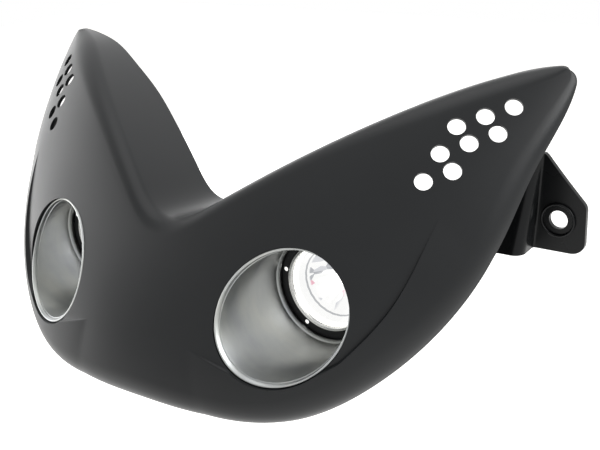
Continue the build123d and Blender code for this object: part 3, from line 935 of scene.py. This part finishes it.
    def make_ear(self, side: Side) -> None:
        """One ear: the flat plate with its hole, the joggled shelf and the web into the wing.

        The back face is the front face set back by the thickness along its normal.

        Args:
            side: Which ear.
        """
        hole_x = self.ear_hole_spacing / 2
        edge, fold_x = hole_x + self.ear_outboard, hole_x - self.ear_fold_high
        shares = {"plate": np.linspace(0, 1, 30), "inner": np.linspace(0, 1, 8)[1:],
                  "wall": np.linspace(0, 1, 7)[1:], "outer": np.linspace(0, 1, 14)[1:],
                  "shelf": np.linspace(0, 1, 7)[1:], "bend": np.linspace(0, 1, 12)[1:],
                  "web": np.linspace(0, 1, 9)[1:]}
        inboard = sum(len(places) for places in shares.values()) - len(shares["plate"])
        nominal = np.concatenate([edge - (edge - fold_x) * shares["plate"]**2, np.full(inboard, fold_x)])
        up = np.linspace(0.0, 1.0, 41)[:, None]
        x, y, z, angle = self.ear_front(up, self.ear_top(nominal)[None], self.ear_bottom(nominal)[None],
                                        shares)
        front = np.stack([side.value * x, y, z], axis=-1)
        back = np.stack([side.value * (x - self.ear_thickness * np.sin(angle)),
                         y + self.ear_thickness * np.cos(angle), z], axis=-1)
        n, m = z.shape
        loop = np.concatenate([front, back[:, ::-1]], axis=1)
        ids = np.arange(n * 2 * m).reshape(n, 2 * m)
        ends = [np.stack([row[:m - 1], row[1:m], row[::-1][1:m], row[::-1][:m - 1]], axis=1)
                for row in (ids[0], ids[-1])]
        ear = build_mesh(f"mask_ear_{side.word}", loop.reshape(-1, 3),
                         [grid_quads(n, 2 * m, Wrap.COLUMNS), *ends])
        middle = np.array([[side.value * hole_x, 0.0, 0.0]])
        cut(ear, rods("drill", middle, BACKWARD, self.ear_hole / 2,
                      reach=(-self.ear_drill, self.ear_drill), turns=64))
        join(ear, self.ear_ring(side))
        sharp_above(ear, degrees=40.0)
        # The ear's finish is darker than the mask's, which paints in the shade that the wing casts on it.
        finish_piece(ear, self.ear_shaded_plastic, "mask_plastic")

    def ear_ring(self, side: Side) -> bpy.types.Object:
        """Raised rim round the ear hole: a ring with a rounded crest, whose root is in the plate.

        Across the ring, the radius follows cos s and the height the square root of sin s.

        Args:
            side: Which ear.

        Returns:
            The mesh object.
        """
        turns, across = 96, 9
        hole_x = self.ear_hole_spacing / 2
        s = np.linspace(0.0, math.pi, across)
        middle = self.ear_rim / 2 - self.ear_rim_width / 2
        r = np.append(middle + np.cos(s) * self.ear_rim_width / 2,
                      [middle - self.ear_rim_width / 2, middle + self.ear_rim_width / 2])
        rise = np.append(self.ear_rim_height * np.sqrt(np.sin(s)), [-self.ear_rim_root] * 2)
        t = np.linspace(0.0, 2 * math.pi, turns, endpoint=False)[:, None]
        x = side.value * (hole_x + r * np.cos(t))
        y = np.broadcast_to(-self.ear_thickness - rise, x.shape)
        points = np.stack([x, y, r * np.sin(t)], axis=-1).reshape(-1, 3)
        return build_mesh("ring", points, [grid_quads(turns, len(r), Wrap.BOTH)])

    def build(self) -> None:
        """Builds every piece of the moulding."""
        self.make_skin()
        for side in Side:
            self.make_collar(side)
            self.make_ear(side)


@dataclass(frozen=True)
class LampSizes:
    """Driving sizes of a lamp, in metres. Depths count from the middle of the mouth."""

    tube_radius: float = 0.0342
    tube_wall: float = 0.002
    tube_length: float = 0.106
    recess_inboard: float = 0.0
    recess_outboard: float = 0.0013
    recess_top: float = 0.0012
    lip_radius: float = 0.0006
    lip_band: float = 0.0027
    lip_flare: float = 0.0007
    lip_groove: float = 0.00035
    lip_land: float = 0.0002
    bore_easing: float = 0.0003
    bore_easing_run: float = 0.004
    flange_front: float = 0.034
    flange_thickness: float = 0.0025
    flange_radius: float = 0.0385
    lobe_radius: float = 0.0054
    screw_hole: float = 0.0039
    screw_drill: tuple = (-0.002, 0.005)
    edge_break: float = 0.0003
    ledge_break: float = 0.0002
    flange_break: float = 0.0004
    seat_radius: float = 0.031
    seat_bead: float = 0.0034
    bead_height: float = 0.0011
    bead_gap: float = 0.0003
    bead_rise: float = 0.0004
    ledge_radius: float = 0.024
    ledge_front: float = 0.0508
    ledge_thickness: float = 0.0024
    ring_radius: float = 0.0308
    ring_bore: float = 0.0258
    ring_face: float = 0.043
    ring_back: float = 0.047
    ring_chamfer: float = 0.0004
    pin_hole: float = 0.0027
    pin_circle: float = 0.0554
    pin_count: int = 5
    pin_start: float = math.radians(167.0)
    pin_drill: tuple = (-0.002, 0.008)
    pip_radius: float = 0.00128
    pip_recess: float = 0.0003
    pip_root: float = 0.001
    gasket_bore: float = 0.0228
    trim_outer: float = 0.0256
    trim_inner: float = 0.0241
    trim_front: float = 0.0426
    trim_crest: float = 0.0003
    bowl_front: float = 0.049
    bowl_radius: float = 0.022
    bowl_neck: float = 0.0062
    bowl_depth: float = 0.024
    bowl_wall: float = 0.0015
    lamp_rim: float = 0.0256
    lamp_rim_thickness: float = 0.0018


@dataclass
class LampUnit:
    """What fills one lamp opening: the tube, the rings and the lit lamp behind its glass."""

    side: Side
    shape: MaskShape
    finishes: dict
    sizes: LampSizes = LampSizes()

    def mouth(self, angle: np.ndarray) -> np.ndarray:
        """Depth of the slanted mouth round the tube.

        The mouth is the plane that follows the mask's surface at the opening's four quarters, set
        back a little at the top and outboard. Its depth is a constant plus a share of cos t and a
        share of sin t.

        Args:
            angle: Angles round the lamp's axis.

        Returns:
            Depth behind the middle of the mouth, at each angle.
        """
        s, edge = self.sizes, LAMP_OPENING / 2
        outboard = self.shape.depth(LAMP_X + edge, 0.0) + s.recess_outboard
        inboard = self.shape.depth(LAMP_X - edge, 0.0) + s.recess_inboard
        top = self.shape.depth(LAMP_X, edge) + s.recess_top
        bottom = self.shape.depth(LAMP_X, -edge)
        across = (outboard - inboard) / LAMP_OPENING * self.side.value * s.tube_radius * np.cos(angle)
        rise = (top - bottom) / LAMP_OPENING * s.tube_radius * np.sin(angle)
        return (outboard + inboard) / 2 - MOUTH_Y + across + rise

    def flange_reach(self, angle: np.ndarray) -> np.ndarray:
        """Radius of the flange: a circle with a round lobe at each screw.

        A ray meets a lobe's far side at c cos d + root(r squared less (c sin d) squared), where c is
        the lobe's distance, r its radius and d the angle between the ray and the lobe.

        Args:
            angle: Angles round the lamp's axis.

        Returns:
            Radius at each angle.
        """
        s = self.sizes
        places = boss_places(self.side) - np.array([self.side.value * LAMP_X, LAMP_Z])
        apart = angle[:, None] - np.arctan2(places[:, 1], places[:, 0])[None]
        c = BOSS_CIRCLE
        inside = s.lobe_radius**2 - (c * np.sin(apart)) ** 2
        far = np.where((inside > 0) & (np.cos(apart) > 0), c * np.cos(apart) + np.sqrt(np.abs(inside)), 0.0)
        return np.maximum(s.flange_radius, far.max(axis=1))

    def lip_profile(self) -> list:
        """The tube's lip and first stretch of bore, as radius and depth behind the slanted mouth.

        The lip's crest is a half ellipse. A flared band, a groove and a land follow it.

        Returns:
            Pairs of radius and depth, from the outside to the bore.
        """
        s = self.sizes
        outer, bore = s.tube_radius, s.tube_radius - s.tube_wall
        middle, half = (outer + bore + s.lip_flare) / 2, (outer - bore - s.lip_flare) / 2
        g, band, land = s.lip_groove, s.lip_band, s.lip_land
        bend = np.linspace(0.0, math.pi, 9)
        crest = [(middle + half * math.cos(b), s.lip_radius * (1 - math.sin(b))) for b in bend]
        return crest + [(bore + s.lip_flare / 2, band / 2), (bore + land, band - g),
                        (bore + g, band - 0.6 * g), (bore + g, band + 0.4 * g),
                        (bore - land / 2, band + g),
                        (bore - s.bore_easing, band + s.bore_easing_run)]

    def bore_profile(self) -> list:
        """The rest of the tube's bore, its rear end and its outside up to the flange.

        The bead before the ring's seat rises with a power of half a sine wave.

        Returns:
            Pairs of radius and depth behind the mouth's middle.
        """
        s = self.sizes
        outer, bore = s.tube_radius, s.tube_radius - s.tube_wall
        start, end = s.ring_face - s.bead_gap - s.seat_bead, s.tube_length
        back = s.ledge_front + s.ledge_thickness
        bead = [(s.seat_radius + s.bead_rise * (1.0 - b) - s.bead_height * math.sin(math.pi * b) ** 0.6,
                 start + s.seat_bead * b) for b in np.linspace(0.0, 1.0, 13)]
        return bead + [(s.seat_radius, s.ledge_front - s.ledge_break),
                       (s.seat_radius - s.ledge_break, s.ledge_front),
                       (s.ledge_radius, s.ledge_front), (s.ledge_radius, back), (bore, back),
                       (bore, end - s.edge_break), (bore + s.edge_break, end),
                       (outer - s.edge_break, end), (outer, end - s.edge_break),
                       (outer, s.flange_front + s.flange_thickness)]

    def make_tube(self) -> None:
        """The satin tube: lip, bore, ring seat, ledge and lobed flange as one closed profile.

        The lip's points shift in depth with the slanted mouth, and the flange's in radius with the
        lobes. The rest is the same at every angle.
        """
        s = self.sizes
        turns = 320
        angle = np.linspace(0.0, 2 * math.pi, turns, endpoint=False)
        lip, rest = self.lip_profile(), self.bore_profile()
        first = np.array([lip + rest] * turns)
        first[:, :len(lip), 1] += self.mouth(angle)[:, None]
        reach, flat, front = self.flange_reach(angle), s.flange_break, s.flange_front
        rear = front + s.flange_thickness
        lobed = [(rear, flat), (rear - flat, 0.0), (front + flat, 0.0), (front, flat)]
        flange = np.stack([np.stack([reach - inset, np.full(turns, depth)], axis=1)
                           for depth, inset in lobed], axis=1)
        root = np.broadcast_to(np.array([s.tube_radius, front]), (turns, 1, 2))
        profile = np.concatenate([first, flange, root], axis=1)
        tube = turned(f"tube_{self.side.word}", profile, self.side, turns)
        places = boss_places(self.side)
        at = np.stack([places[:, 0], np.full(len(places), MOUTH_Y + front), places[:, 1]], axis=1)
        cut(tube, rods("drill", at, BACKWARD, s.screw_hole / 2, reach=s.screw_drill, turns=32))
        sharp_above(tube, degrees=34.0)
        finish_piece(tube, self.finishes["tube"], "tube_metal", f"lamp_tube_{self.side.word}")

    def pin_places(self) -> np.ndarray:
        """Middles of the spanner holes on the ring's face, evenly round a circle.

        Returns:
            Array of points.
        """
        s = self.sizes
        turn = s.pin_start + np.arange(s.pin_count) * 2 * math.pi / s.pin_count
        return np.stack([self.side.value * (LAMP_X + s.pin_circle / 2 * np.cos(turn)),
                         np.full(s.pin_count, MOUTH_Y + s.ring_face),
                         LAMP_Z + s.pin_circle / 2 * np.sin(turn)], axis=1)

    def make_ring(self) -> None:
        """The black retaining ring with its chamfers and the holes for a pin spanner."""
        s = self.sizes
        c = s.ring_chamfer
        profile = np.array([(s.ring_bore + c, s.ring_face), (s.ring_radius - c, s.ring_face),
                            (s.ring_radius, s.ring_face + c), (s.ring_radius, s.ring_back),
                            (s.ring_bore, s.ring_back), (s.ring_bore, s.ring_face + c)])
        ring = turned(f"clamp_ring_{self.side.word}", profile, self.side, 160)
        cut(ring, rods("drill", self.pin_places(), BACKWARD, s.pin_hole / 2,
                       reach=s.pin_drill, turns=32))
        sharp_above(ring, degrees=30.0)
        finish_piece(ring, self.finishes["ring"], "ring_black", f"retaining_ring_{self.side.word}")

    def make_gasket(self) -> None:
        """The pale gasket behind the ring, with a pip that shows through each spanner hole. Its finish
        glows as painted light, though the gasket is no lamp, so the pips show white in the holes.
        """
        s = self.sizes
        profile = np.array([(s.gasket_bore, s.ring_back), (s.ring_radius, s.ring_back),
                            (s.ring_radius, s.bowl_front), (s.gasket_bore, s.bowl_front)])
        gasket = turned(f"gasket_{self.side.word}", profile, self.side, 96)
        join(gasket, rods("glowing_pips", self.pin_places(), BACKWARD, s.pip_radius,
                          reach=(s.pip_recess, s.ring_back - s.ring_face + s.pip_root), turns=24))
        sharp_above(gasket, degrees=40.0)
        finish_piece(gasket, self.finishes["gasket"], "gasket_silicone", f"lamp_gasket_{self.side.word}")

    def make_trim(self) -> None:
        """The bright trim ring: two fine beads round the glass.

        Across the ring, the front falls back with one less the root of the size of sin 2 pi s.
        """
        s = self.sizes
        width = s.trim_outer - s.trim_inner
        across = np.linspace(0.0, 1.0, 17)
        crest = s.trim_front + s.trim_crest * (1.0 - np.abs(np.sin(2 * math.pi * across)) ** 0.5)
        front = np.stack([s.trim_inner + width * across, crest], axis=1)
        back = np.array([(s.trim_outer, s.ring_back), (s.trim_inner, s.ring_back)])
        trim = turned(f"glass_trim_{self.side.word}", np.concatenate([front, back]), self.side, 160)
        sharp_above(trim, degrees=50.0)
        finish_piece(trim, self.finishes["trim"], "trim_steel", f"trim_ring_{self.side.word}")

    def make_reflector(self) -> None:
        """The lamp's bowl in flat facets, with a flat rim that bears on the gasket.

        Its profile is a Bezier curve of three points, (1 - s) squared times the mouth's point, plus
        2 s (1 - s) times the middle one, plus s squared times the neck's, which is a parabola.
        """
        s = self.sizes
        rows, turns = 8, 28
        share = np.linspace(0.0, 1.0, rows)
        ratio = s.bowl_neck / s.bowl_radius
        middle = (s.bowl_radius + s.bowl_neck) / 2, s.bowl_front + s.bowl_depth / (1 + ratio)
        bezier = np.stack([(1 - share) ** 2 * a + 2 * share * (1 - share) * b + share**2 * c
                           for a, b, c in ((s.bowl_radius, middle[0], s.bowl_neck),
                                           (s.bowl_front, middle[1], s.bowl_front + s.bowl_depth))], axis=1)
        shell = bezier[::-1] + np.array([s.bowl_wall, 0.0])
        outer_rim = np.array([(s.lamp_rim, s.bowl_front), (s.lamp_rim, s.bowl_front + s.lamp_rim_thickness),
                              (s.bowl_radius + s.bowl_wall, s.bowl_front + s.lamp_rim_thickness)])
        keep = shell[:, 1] > s.bowl_front + s.lamp_rim_thickness
        profile = np.concatenate([bezier[::-1], outer_rim, shell[keep][::-1]])
        bowl = turned(f"bowl_{self.side.word}", profile, self.side, turns, flat=True)
        finish_piece(bowl, self.finishes["mirror"], "reflector_coat", f"reflector_{self.side.word}")

    def build(self) -> None:
        """Builds the lamp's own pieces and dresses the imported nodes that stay."""
        self.make_tube()
        self.make_ring()
        self.make_gasket()
        self.make_trim()
        self.make_reflector()
        kept = {"cover_glass": "glass", "bulb_capsule": "filament",
                "lamp_base": "ceramic", "contact_pins": "pin", "lamp_socket": "ceramic",
                "rear_cap": "rubber", "lead_grommet": "rubber", "tube_screws": "steel"}
        for node, finish in kept.items():
            dress(f"{node}_{self.side.word}", self.finishes[finish])


def ranged(tree: bpy.types.NodeTree, source: bpy.types.NodeSocket, limits: tuple,
           values: tuple) -> bpy.types.NodeSocket:
    """A value carried in a straight line from one range to another, and held at its ends.

    Args:
        tree: The material's or the world's nodes.
        source: Socket that gives the value.
        limits: The range it comes from.
        values: The range it goes to.

    Returns:
        Socket that gives the new value.
    """
    step = tree.nodes.new("ShaderNodeMapRange")
    tree.links.new(source, step.inputs["Value"])
    for name, value in zip(("From Min", "From Max", "To Min", "To Max"), (*limits, *values)):
        step.inputs[name].default_value = value
    return step.outputs["Result"]


def counted(tree: bpy.types.NodeTree, operation: str, *sources: bpy.types.NodeSocket) -> bpy.types.Node:
    """A step of arithmetic on one or two values.

    Args:
        tree: The material's or the world's nodes.
        operation: Name of the operation.
        *sources: Sockets that give the values.

    Returns:
        The node.
    """
    step = tree.nodes.new("ShaderNodeMath")
    step.operation = operation
    for index, source in enumerate(sources):
        tree.links.new(source, step.inputs[index])
    return step


def noise(tree: bpy.types.NodeTree, place: bpy.types.NodeSocket, scale: float,
          detail: float) -> bpy.types.NodeSocket:
    """Noise in space.

    Args:
        tree: The material's nodes.
        place: Socket that gives the coordinates.
        scale: Waves in a metre.
        detail: Finer layers that are added.

    Returns:
        Socket that gives the noise's value.
    """
    step = tree.nodes.new("ShaderNodeTexNoise")
    step.inputs["Scale"].default_value = scale
    step.inputs["Detail"].default_value = detail
    tree.links.new(place, step.inputs["Vector"])
    return step.outputs["Fac"]


@dataclass(frozen=True)
class Finish:
    """A surface finish: shader values, and noise that varies its tone, its gloss and its grain."""

    name: str
    colour: tuple
    metallic: float = 0.0
    roughness: float = 0.5
    roughness_spread: float = 0.08
    tone: float = 0.15
    tint: tuple = (1.0, 1.0, 1.0)
    patch_scale: float = 45.0
    patch_detail: float = 5.0
    grain_scale: float = 2600.0
    grain_detail: float = 3.0
    grain_strength: float = 0.15
    grain_height: float = 0.00004
    stretch: tuple = (1.0, 1.0, 1.0)
    specular: float = 0.5
    transmission: float = 0.0
    ior: float = 1.5
    glow: float = 0.0
    glow_colour: tuple = (1.0, 0.99, 0.96, 1.0)

    def make(self) -> bpy.types.Material:
        """Builds the material from nodes in Object coordinates.

        Returns:
            The material.
        """
        material = bpy.data.materials.new(self.name)
        material.use_nodes = True
        tree = material.node_tree
        shader = tree.nodes["Principled BSDF"]
        shader.inputs["Metallic"].default_value = self.metallic
        shader.inputs["Specular IOR Level"].default_value = self.specular
        shader.inputs["Transmission Weight"].default_value = self.transmission
        shader.inputs["IOR"].default_value = self.ior
        coordinates = tree.nodes.new("ShaderNodeTexCoord")
        spread = tree.nodes.new("ShaderNodeMapping")
        spread.inputs["Scale"].default_value = self.stretch
        tree.links.new(coordinates.outputs["Object"], spread.inputs["Vector"])
        place = spread.outputs["Vector"]

        patches = noise(tree, place, self.patch_scale, self.patch_detail)
        tree.links.new(self.tones(tree, patches), shader.inputs["Base Color"])
        low = max(0.0, self.roughness - self.roughness_spread)
        high = min(1.0, self.roughness + self.roughness_spread)
        tree.links.new(ranged(tree, patches, NOISE_LIMITS, (low, high)), shader.inputs["Roughness"])
        if self.grain_strength:
            tree.links.new(self.grain(tree, place), shader.inputs["Normal"])
        if self.glow:
            shader.inputs["Emission Strength"].default_value = self.glow
            shader.inputs["Emission Color"].default_value = self.glow_colour
        return material

    def tones(self, tree: bpy.types.NodeTree, patches: bpy.types.NodeSocket) -> bpy.types.NodeSocket:
        """The colour, darker in some patches, and lighter and tinted in others.

        Args:
            tree: The material's nodes.
            patches: Socket that gives the patches' noise.

        Returns:
            Socket that gives the colour.
        """
        ramp = tree.nodes.new("ShaderNodeValToRGB")
        dark = [c * (1.0 - self.tone) for c in self.colour]
        light = [min(1.0, c * t * (1.0 + self.tone)) for c, t in zip(self.colour, self.tint)]
        for element, limit, colour in zip(ramp.color_ramp.elements, NOISE_LIMITS, (dark, light)):
            element.position, element.color = limit, (*colour, 1.0)
        tree.links.new(patches, ramp.inputs["Fac"])
        return ramp.outputs["Color"]

    def grain(self, tree: bpy.types.NodeTree, place: bpy.types.NodeSocket) -> bpy.types.NodeSocket:
        """Fine bumps all over the surface.

        Args:
            tree: The material's nodes.
            place: Socket that gives the coordinates.

        Returns:
            Socket that gives the surface's direction.
        """
        bump = tree.nodes.new("ShaderNodeBump")
        bump.inputs["Strength"].default_value = self.grain_strength
        bump.inputs["Distance"].default_value = self.grain_height
        height = noise(tree, place, self.grain_scale, self.grain_detail)
        tree.links.new(height, bump.inputs["Height"])
        return bump.outputs["Normal"]


@dataclass(frozen=True)
class LitMirror:
    """The lit bowl: white, with a thin grey circle and a few tinted facets on its inboard half."""

    base: Finish
    circle: float = 0.0200
    circle_width: float = 0.0005
    circle_colour: tuple = (0.45, 0.46, 0.48, 1.0)
    lit_colour: tuple = (1.0, 1.0, 0.99, 1.0)
    facet_scale: float = 250.0
    facet_fade: tuple = (0.0188, 0.0192)
    inboard_fade: tuple = (-0.004, -0.002)
    facet_steps: tuple = ((0.0, (0.42, 0.43, 0.46, 1.0)), (0.14, (0.66, 0.67, 0.70, 1.0)),
                          (0.30, (0.85, 0.42, 0.52, 1.0)))
    last_step: float = 0.34

    def make(self) -> bpy.types.Material:
        """Builds the material.

        The distance from the lamp's axis comes from Object coordinates, with X taken as positive
        for both lamps. It sets the circle, and inside it the cells of a Voronoi pattern are tinted.

        Returns:
            The material.
        """
        material = self.base.make()
        tree = material.node_tree
        centred = self.from_axis(tree)
        length = self.vector(tree, "LENGTH", centred).outputs["Value"]
        split = tree.nodes.new("ShaderNodeSeparateXYZ")
        tree.links.new(centred, split.inputs["Vector"])

        inside = ranged(tree, length, self.facet_fade, (1.0, 0.0))
        inboard = ranged(tree, split.outputs["X"], self.inboard_fade, (1.0, 0.0))
        where = counted(tree, "MULTIPLY", inside, inboard).outputs["Value"]
        patched = self.mixed(tree, where, self.lit_colour, self.facets(tree, centred))

        ring = counted(tree, "COMPARE", length)
        ring.inputs[1].default_value = self.circle
        ring.inputs[2].default_value = self.circle_width / 2
        lined = self.mixed(tree, ring.outputs["Value"], patched, self.circle_colour)
        tree.links.new(lined, tree.nodes["Principled BSDF"].inputs["Emission Color"])
        return material

    def vector(self, tree: bpy.types.NodeTree, operation: str, source: bpy.types.NodeSocket,
               value: tuple = (0.0, 0.0, 0.0)) -> bpy.types.Node:
        """A step of vector arithmetic.

        Args:
            tree: The material's nodes.
            operation: Name of the operation.
            source: Socket that gives the vector.
            value: The second vector, where the operation has one.

        Returns:
            The node.
        """
        step = tree.nodes.new("ShaderNodeVectorMath")
        step.operation = operation
        tree.links.new(source, step.inputs[0])
        step.inputs[1].default_value = value
        return step

    def mixed(self, tree: bpy.types.NodeTree, share: bpy.types.NodeSocket,
              *colours: bpy.types.NodeSocket | tuple) -> bpy.types.NodeSocket:
        """A mix of two colours.

        Args:
            tree: The material's nodes.
            share: Socket that gives the second colour's share.
            *colours: The two, each a socket or a plain colour.

        Returns:
            Socket that gives the mix.
        """
        step = tree.nodes.new("ShaderNodeMix")
        step.data_type = "RGBA"
        tree.links.new(share, step.inputs["Factor"])
        for name, colour in zip("AB", colours):
            if isinstance(colour, tuple):
                step.inputs[name].default_value = colour
            else:
                tree.links.new(colour, step.inputs[name])
        return step.outputs["Result"]

    def from_axis(self, tree: bpy.types.NodeTree) -> bpy.types.NodeSocket:
        """The way from the nearer lamp's axis, across the lamp.

        Args:
            tree: The material's nodes.

        Returns:
            Socket that gives the vector, with X outboard, Y zero and Z up.
        """
        place = tree.nodes.new("ShaderNodeTexCoord").outputs["Object"]
        mirrored = self.vector(tree, "ABSOLUTE", place).outputs["Vector"]
        upright = self.vector(tree, "MULTIPLY", place, (0.0, 0.0, 1.0)).outputs["Vector"]
        across = self.vector(tree, "MULTIPLY", mirrored, (1.0, 0.0, 0.0)).outputs["Vector"]
        both = self.vector(tree, "ADD", upright)
        tree.links.new(across, both.inputs[1])
        return self.vector(tree, "SUBTRACT", both.outputs["Vector"],
                           (LAMP_X, 0.0, LAMP_Z)).outputs["Vector"]

    def facets(self, tree: bpy.types.NodeTree, place: bpy.types.NodeSocket) -> bpy.types.NodeSocket:
        """Cells with one colour each: mostly lit, and a few grey or tinted.

        Args:
            tree: The material's nodes.
            place: Socket that gives the coordinates.

        Returns:
            Socket that gives the colour.
        """
        cells = tree.nodes.new("ShaderNodeTexVoronoi")
        cells.inputs["Scale"].default_value = self.facet_scale
        tree.links.new(place, cells.inputs["Vector"])
        parts = tree.nodes.new("ShaderNodeSeparateColor")
        tree.links.new(cells.outputs["Color"], parts.inputs["Color"])
        tint = tree.nodes.new("ShaderNodeValToRGB")
        ramp = tint.color_ramp
        ramp.interpolation = "CONSTANT"
        for index, (position, colour) in enumerate((*self.facet_steps, (self.last_step, self.lit_colour))):
            element = ramp.elements[index] if index < 2 else ramp.elements.new(position)
            element.position, element.color = position, colour
        tree.links.new(parts.outputs["Red"], tint.inputs["Fac"])
        return tint.outputs["Color"]


def make_finishes() -> dict:
    """Makes every finish of the headlight.

    Returns:
        The materials by their short names.
    """
    finishes = {
        "plastic": Finish("satin_black_moulding", (0.0115, 0.0125, 0.0135), roughness=0.37,
                          roughness_spread=0.03, tone=0.10, patch_scale=14.0, grain_strength=0.10,
                          grain_scale=3200.0, specular=0.24),
        # The ears' colour is darker than the mask's partly as painted shade, for the wing's shadow on them;
        # their higher gloss is the moulding's own.
        "ear": Finish("glossy_black_moulding_painted_shade", (0.006, 0.0065, 0.007), roughness=0.27,
                      roughness_spread=0.03, tone=0.10, patch_scale=14.0, grain_strength=0.08,
                      grain_scale=3200.0, specular=0.20),
        "tube": Finish("satin_aluminium", (0.40, 0.415, 0.43), metallic=1.0, roughness=0.40,
                       roughness_spread=0.06, tone=0.16, tint=(1.05, 1.03, 0.94), patch_scale=24.0,
                       grain_scale=900.0, grain_strength=0.12, stretch=(1.0, 2.5, 1.0)),
        "ring": Finish("black_anodised", (0.012, 0.012, 0.013), metallic=0.3, roughness=0.34,
                       grain_scale=1800.0, grain_strength=0.10),
        "trim": Finish("bright_trim_steel", (0.74, 0.74, 0.72), metallic=1.0, roughness=0.18,
                       roughness_spread=0.04, grain_scale=1500.0, grain_strength=0.05),
        # The gasket's glow is painted light: the gasket is no lamp, and it glows so that its pips show
        # white in the ring's spanner holes.
        "gasket": Finish("silicone_painted_glow", (0.80, 0.80, 0.78), glow=0.9, grain_strength=0.08),
        "glass": Finish("clear_glass", (1.0, 1.0, 1.0), roughness=0.0, roughness_spread=0.01, tone=0.0,
                        transmission=1.0, ior=1.45, grain_strength=0.0),
        "filament": Finish("lit_capsule", (0.95, 0.94, 0.90), roughness=0.25, glow=2.5,
                           grain_strength=0.05),
        "mirror": LitMirror(Finish("facet_mirror", (0.10, 0.10, 0.10), metallic=1.0, roughness=0.16,
                                   roughness_spread=0.05, grain_strength=0.05, glow=0.92)),
        "ceramic": Finish("lamp_ceramic", (0.66, 0.63, 0.56), roughness=0.62, grain_scale=1500.0),
        "pin": Finish("contact_metal", (0.62, 0.60, 0.56), metallic=1.0, roughness=0.28),
        "rubber": Finish("soft_rubber", (0.016, 0.016, 0.016), roughness=0.66, grain_scale=1400.0,
                         grain_strength=0.25),
        "steel": Finish("zinc_steel", (0.52, 0.53, 0.55), metallic=1.0, roughness=0.30,
                        grain_strength=0.08)}
    return {name: finish.make() for name, finish in finishes.items()}


@dataclass(frozen=True)
class SoftLight:
    """A soft square light that faces the object, with its place and size in metres."""

    name: str
    place: tuple
    size: float
    power: float
    target: tuple = (0.0, -0.05, 0.0)

    def add(self) -> None:
        """Puts the light in the scene, hidden from the camera."""
        data = bpy.data.lights.new(self.name, "AREA")
        data.shape, data.size, data.energy = "SQUARE", self.size, self.power
        lamp = bpy.data.objects.new(self.name, data)
        lamp.location = self.place
        aim = Vector(self.target) - Vector(self.place)
        lamp.rotation_euler = aim.to_track_quat("-Z", "Y").to_euler()
        lamp.visible_camera = False
        bpy.context.scene.collection.objects.link(lamp)


@dataclass(frozen=True)
class Studio:
    """The plain white studio and the camera at the photograph's angle."""

    eye: tuple = (0.36748, -0.499, 0.193)
    right: tuple = (0.8235, 0.5656, -0.0448)
    up: tuple = (-0.1625, 0.3108, 0.9365)
    forward: tuple = (-0.5436, 0.7639, -0.3479)
    lens: float = 60.0
    sensor: float = 36.0
    clip: tuple = (0.01, 50.0)
    floor_height: float = -0.60
    floor_half: float = 4.0
    ambient: float = 0.40
    lights: tuple = (SoftLight("soft_back_left", (-1.9, 1.5, -0.1), 2.4, 28.0),
                     SoftLight("soft_left", (-1.9, -0.5, 0.3), 1.6, 20.0),
                     SoftLight("soft_right", (1.7, 0.35, 1.1), 1.2, 32.0),
                     SoftLight("soft_top", (-0.3, 0.3, 1.8), 1.2, 6.0))

    def camera(self) -> None:
        """Places the camera."""
        data = bpy.data.cameras.new("camera")
        data.lens, data.sensor_width = self.lens, self.sensor
        data.clip_start, data.clip_end = self.clip
        eye = bpy.data.objects.new("camera", data)
        turn = Matrix((self.right, self.up, tuple(-v for v in self.forward))).transposed()
        eye.matrix_world = Matrix.Translation(self.eye) @ turn.to_4x4()
        bpy.context.scene.collection.objects.link(eye)
        bpy.context.scene.camera = eye

    def world(self) -> None:
        """White to the camera, in gloss and through glass, and an even light on all else."""
        world = bpy.data.worlds.new("studio")
        bpy.context.scene.world = world
        world.use_nodes = True
        tree = world.node_tree
        back = tree.nodes["Background"]
        back.inputs["Color"].default_value = (1.0, 1.0, 1.0, 1.0)
        path = tree.nodes.new("ShaderNodeLightPath")
        seen = path.outputs["Is Camera Ray"]
        for ray in ("Is Glossy Ray", "Is Transmission Ray"):
            seen = counted(tree, "MAXIMUM", seen, path.outputs[ray]).outputs["Value"]
        tree.links.new(ranged(tree, seen, (0.0, 1.0), (self.ambient, 1.0)), back.inputs["Strength"])

    def floor(self) -> None:
        """A plain pale floor, far below the part, which hangs by its ears."""
        half = self.floor_half
        corners = np.array([(-half, -half, self.floor_height), (half, -half, self.floor_height),
                            (half, half, self.floor_height), (-half, half, self.floor_height)])
        floor = build_mesh("floor", corners, [np.array([[0, 1, 2, 3]])], flat=True)
        floor.data.materials.append(Finish("pale_floor", (0.80, 0.80, 0.80), roughness=0.8, tone=0.02,
                                           glow=0.75, grain_strength=0.02).make())

    def build(self) -> None:
        """Sets up view, world, floor, lights and camera."""
        bpy.context.scene.view_settings.view_transform = "Standard"
        self.camera()
        self.world()
        self.floor()
        for light in self.lights:
            light.add()


def main() -> None:
    """Builds the studio and the headlight."""
    logging.basicConfig(level=logging.INFO, format="%(name)s: %(message)s")
    Studio().build()
    finishes = make_finishes()
    shape = MaskShape()
    MaskShell(shape, finishes["plastic"], finishes["ear"]).build()
    for side in Side:
        LampUnit(side, shape, finishes).build()
    bpy.context.view_layer.update()


if __name__ == "__main__":
    main()
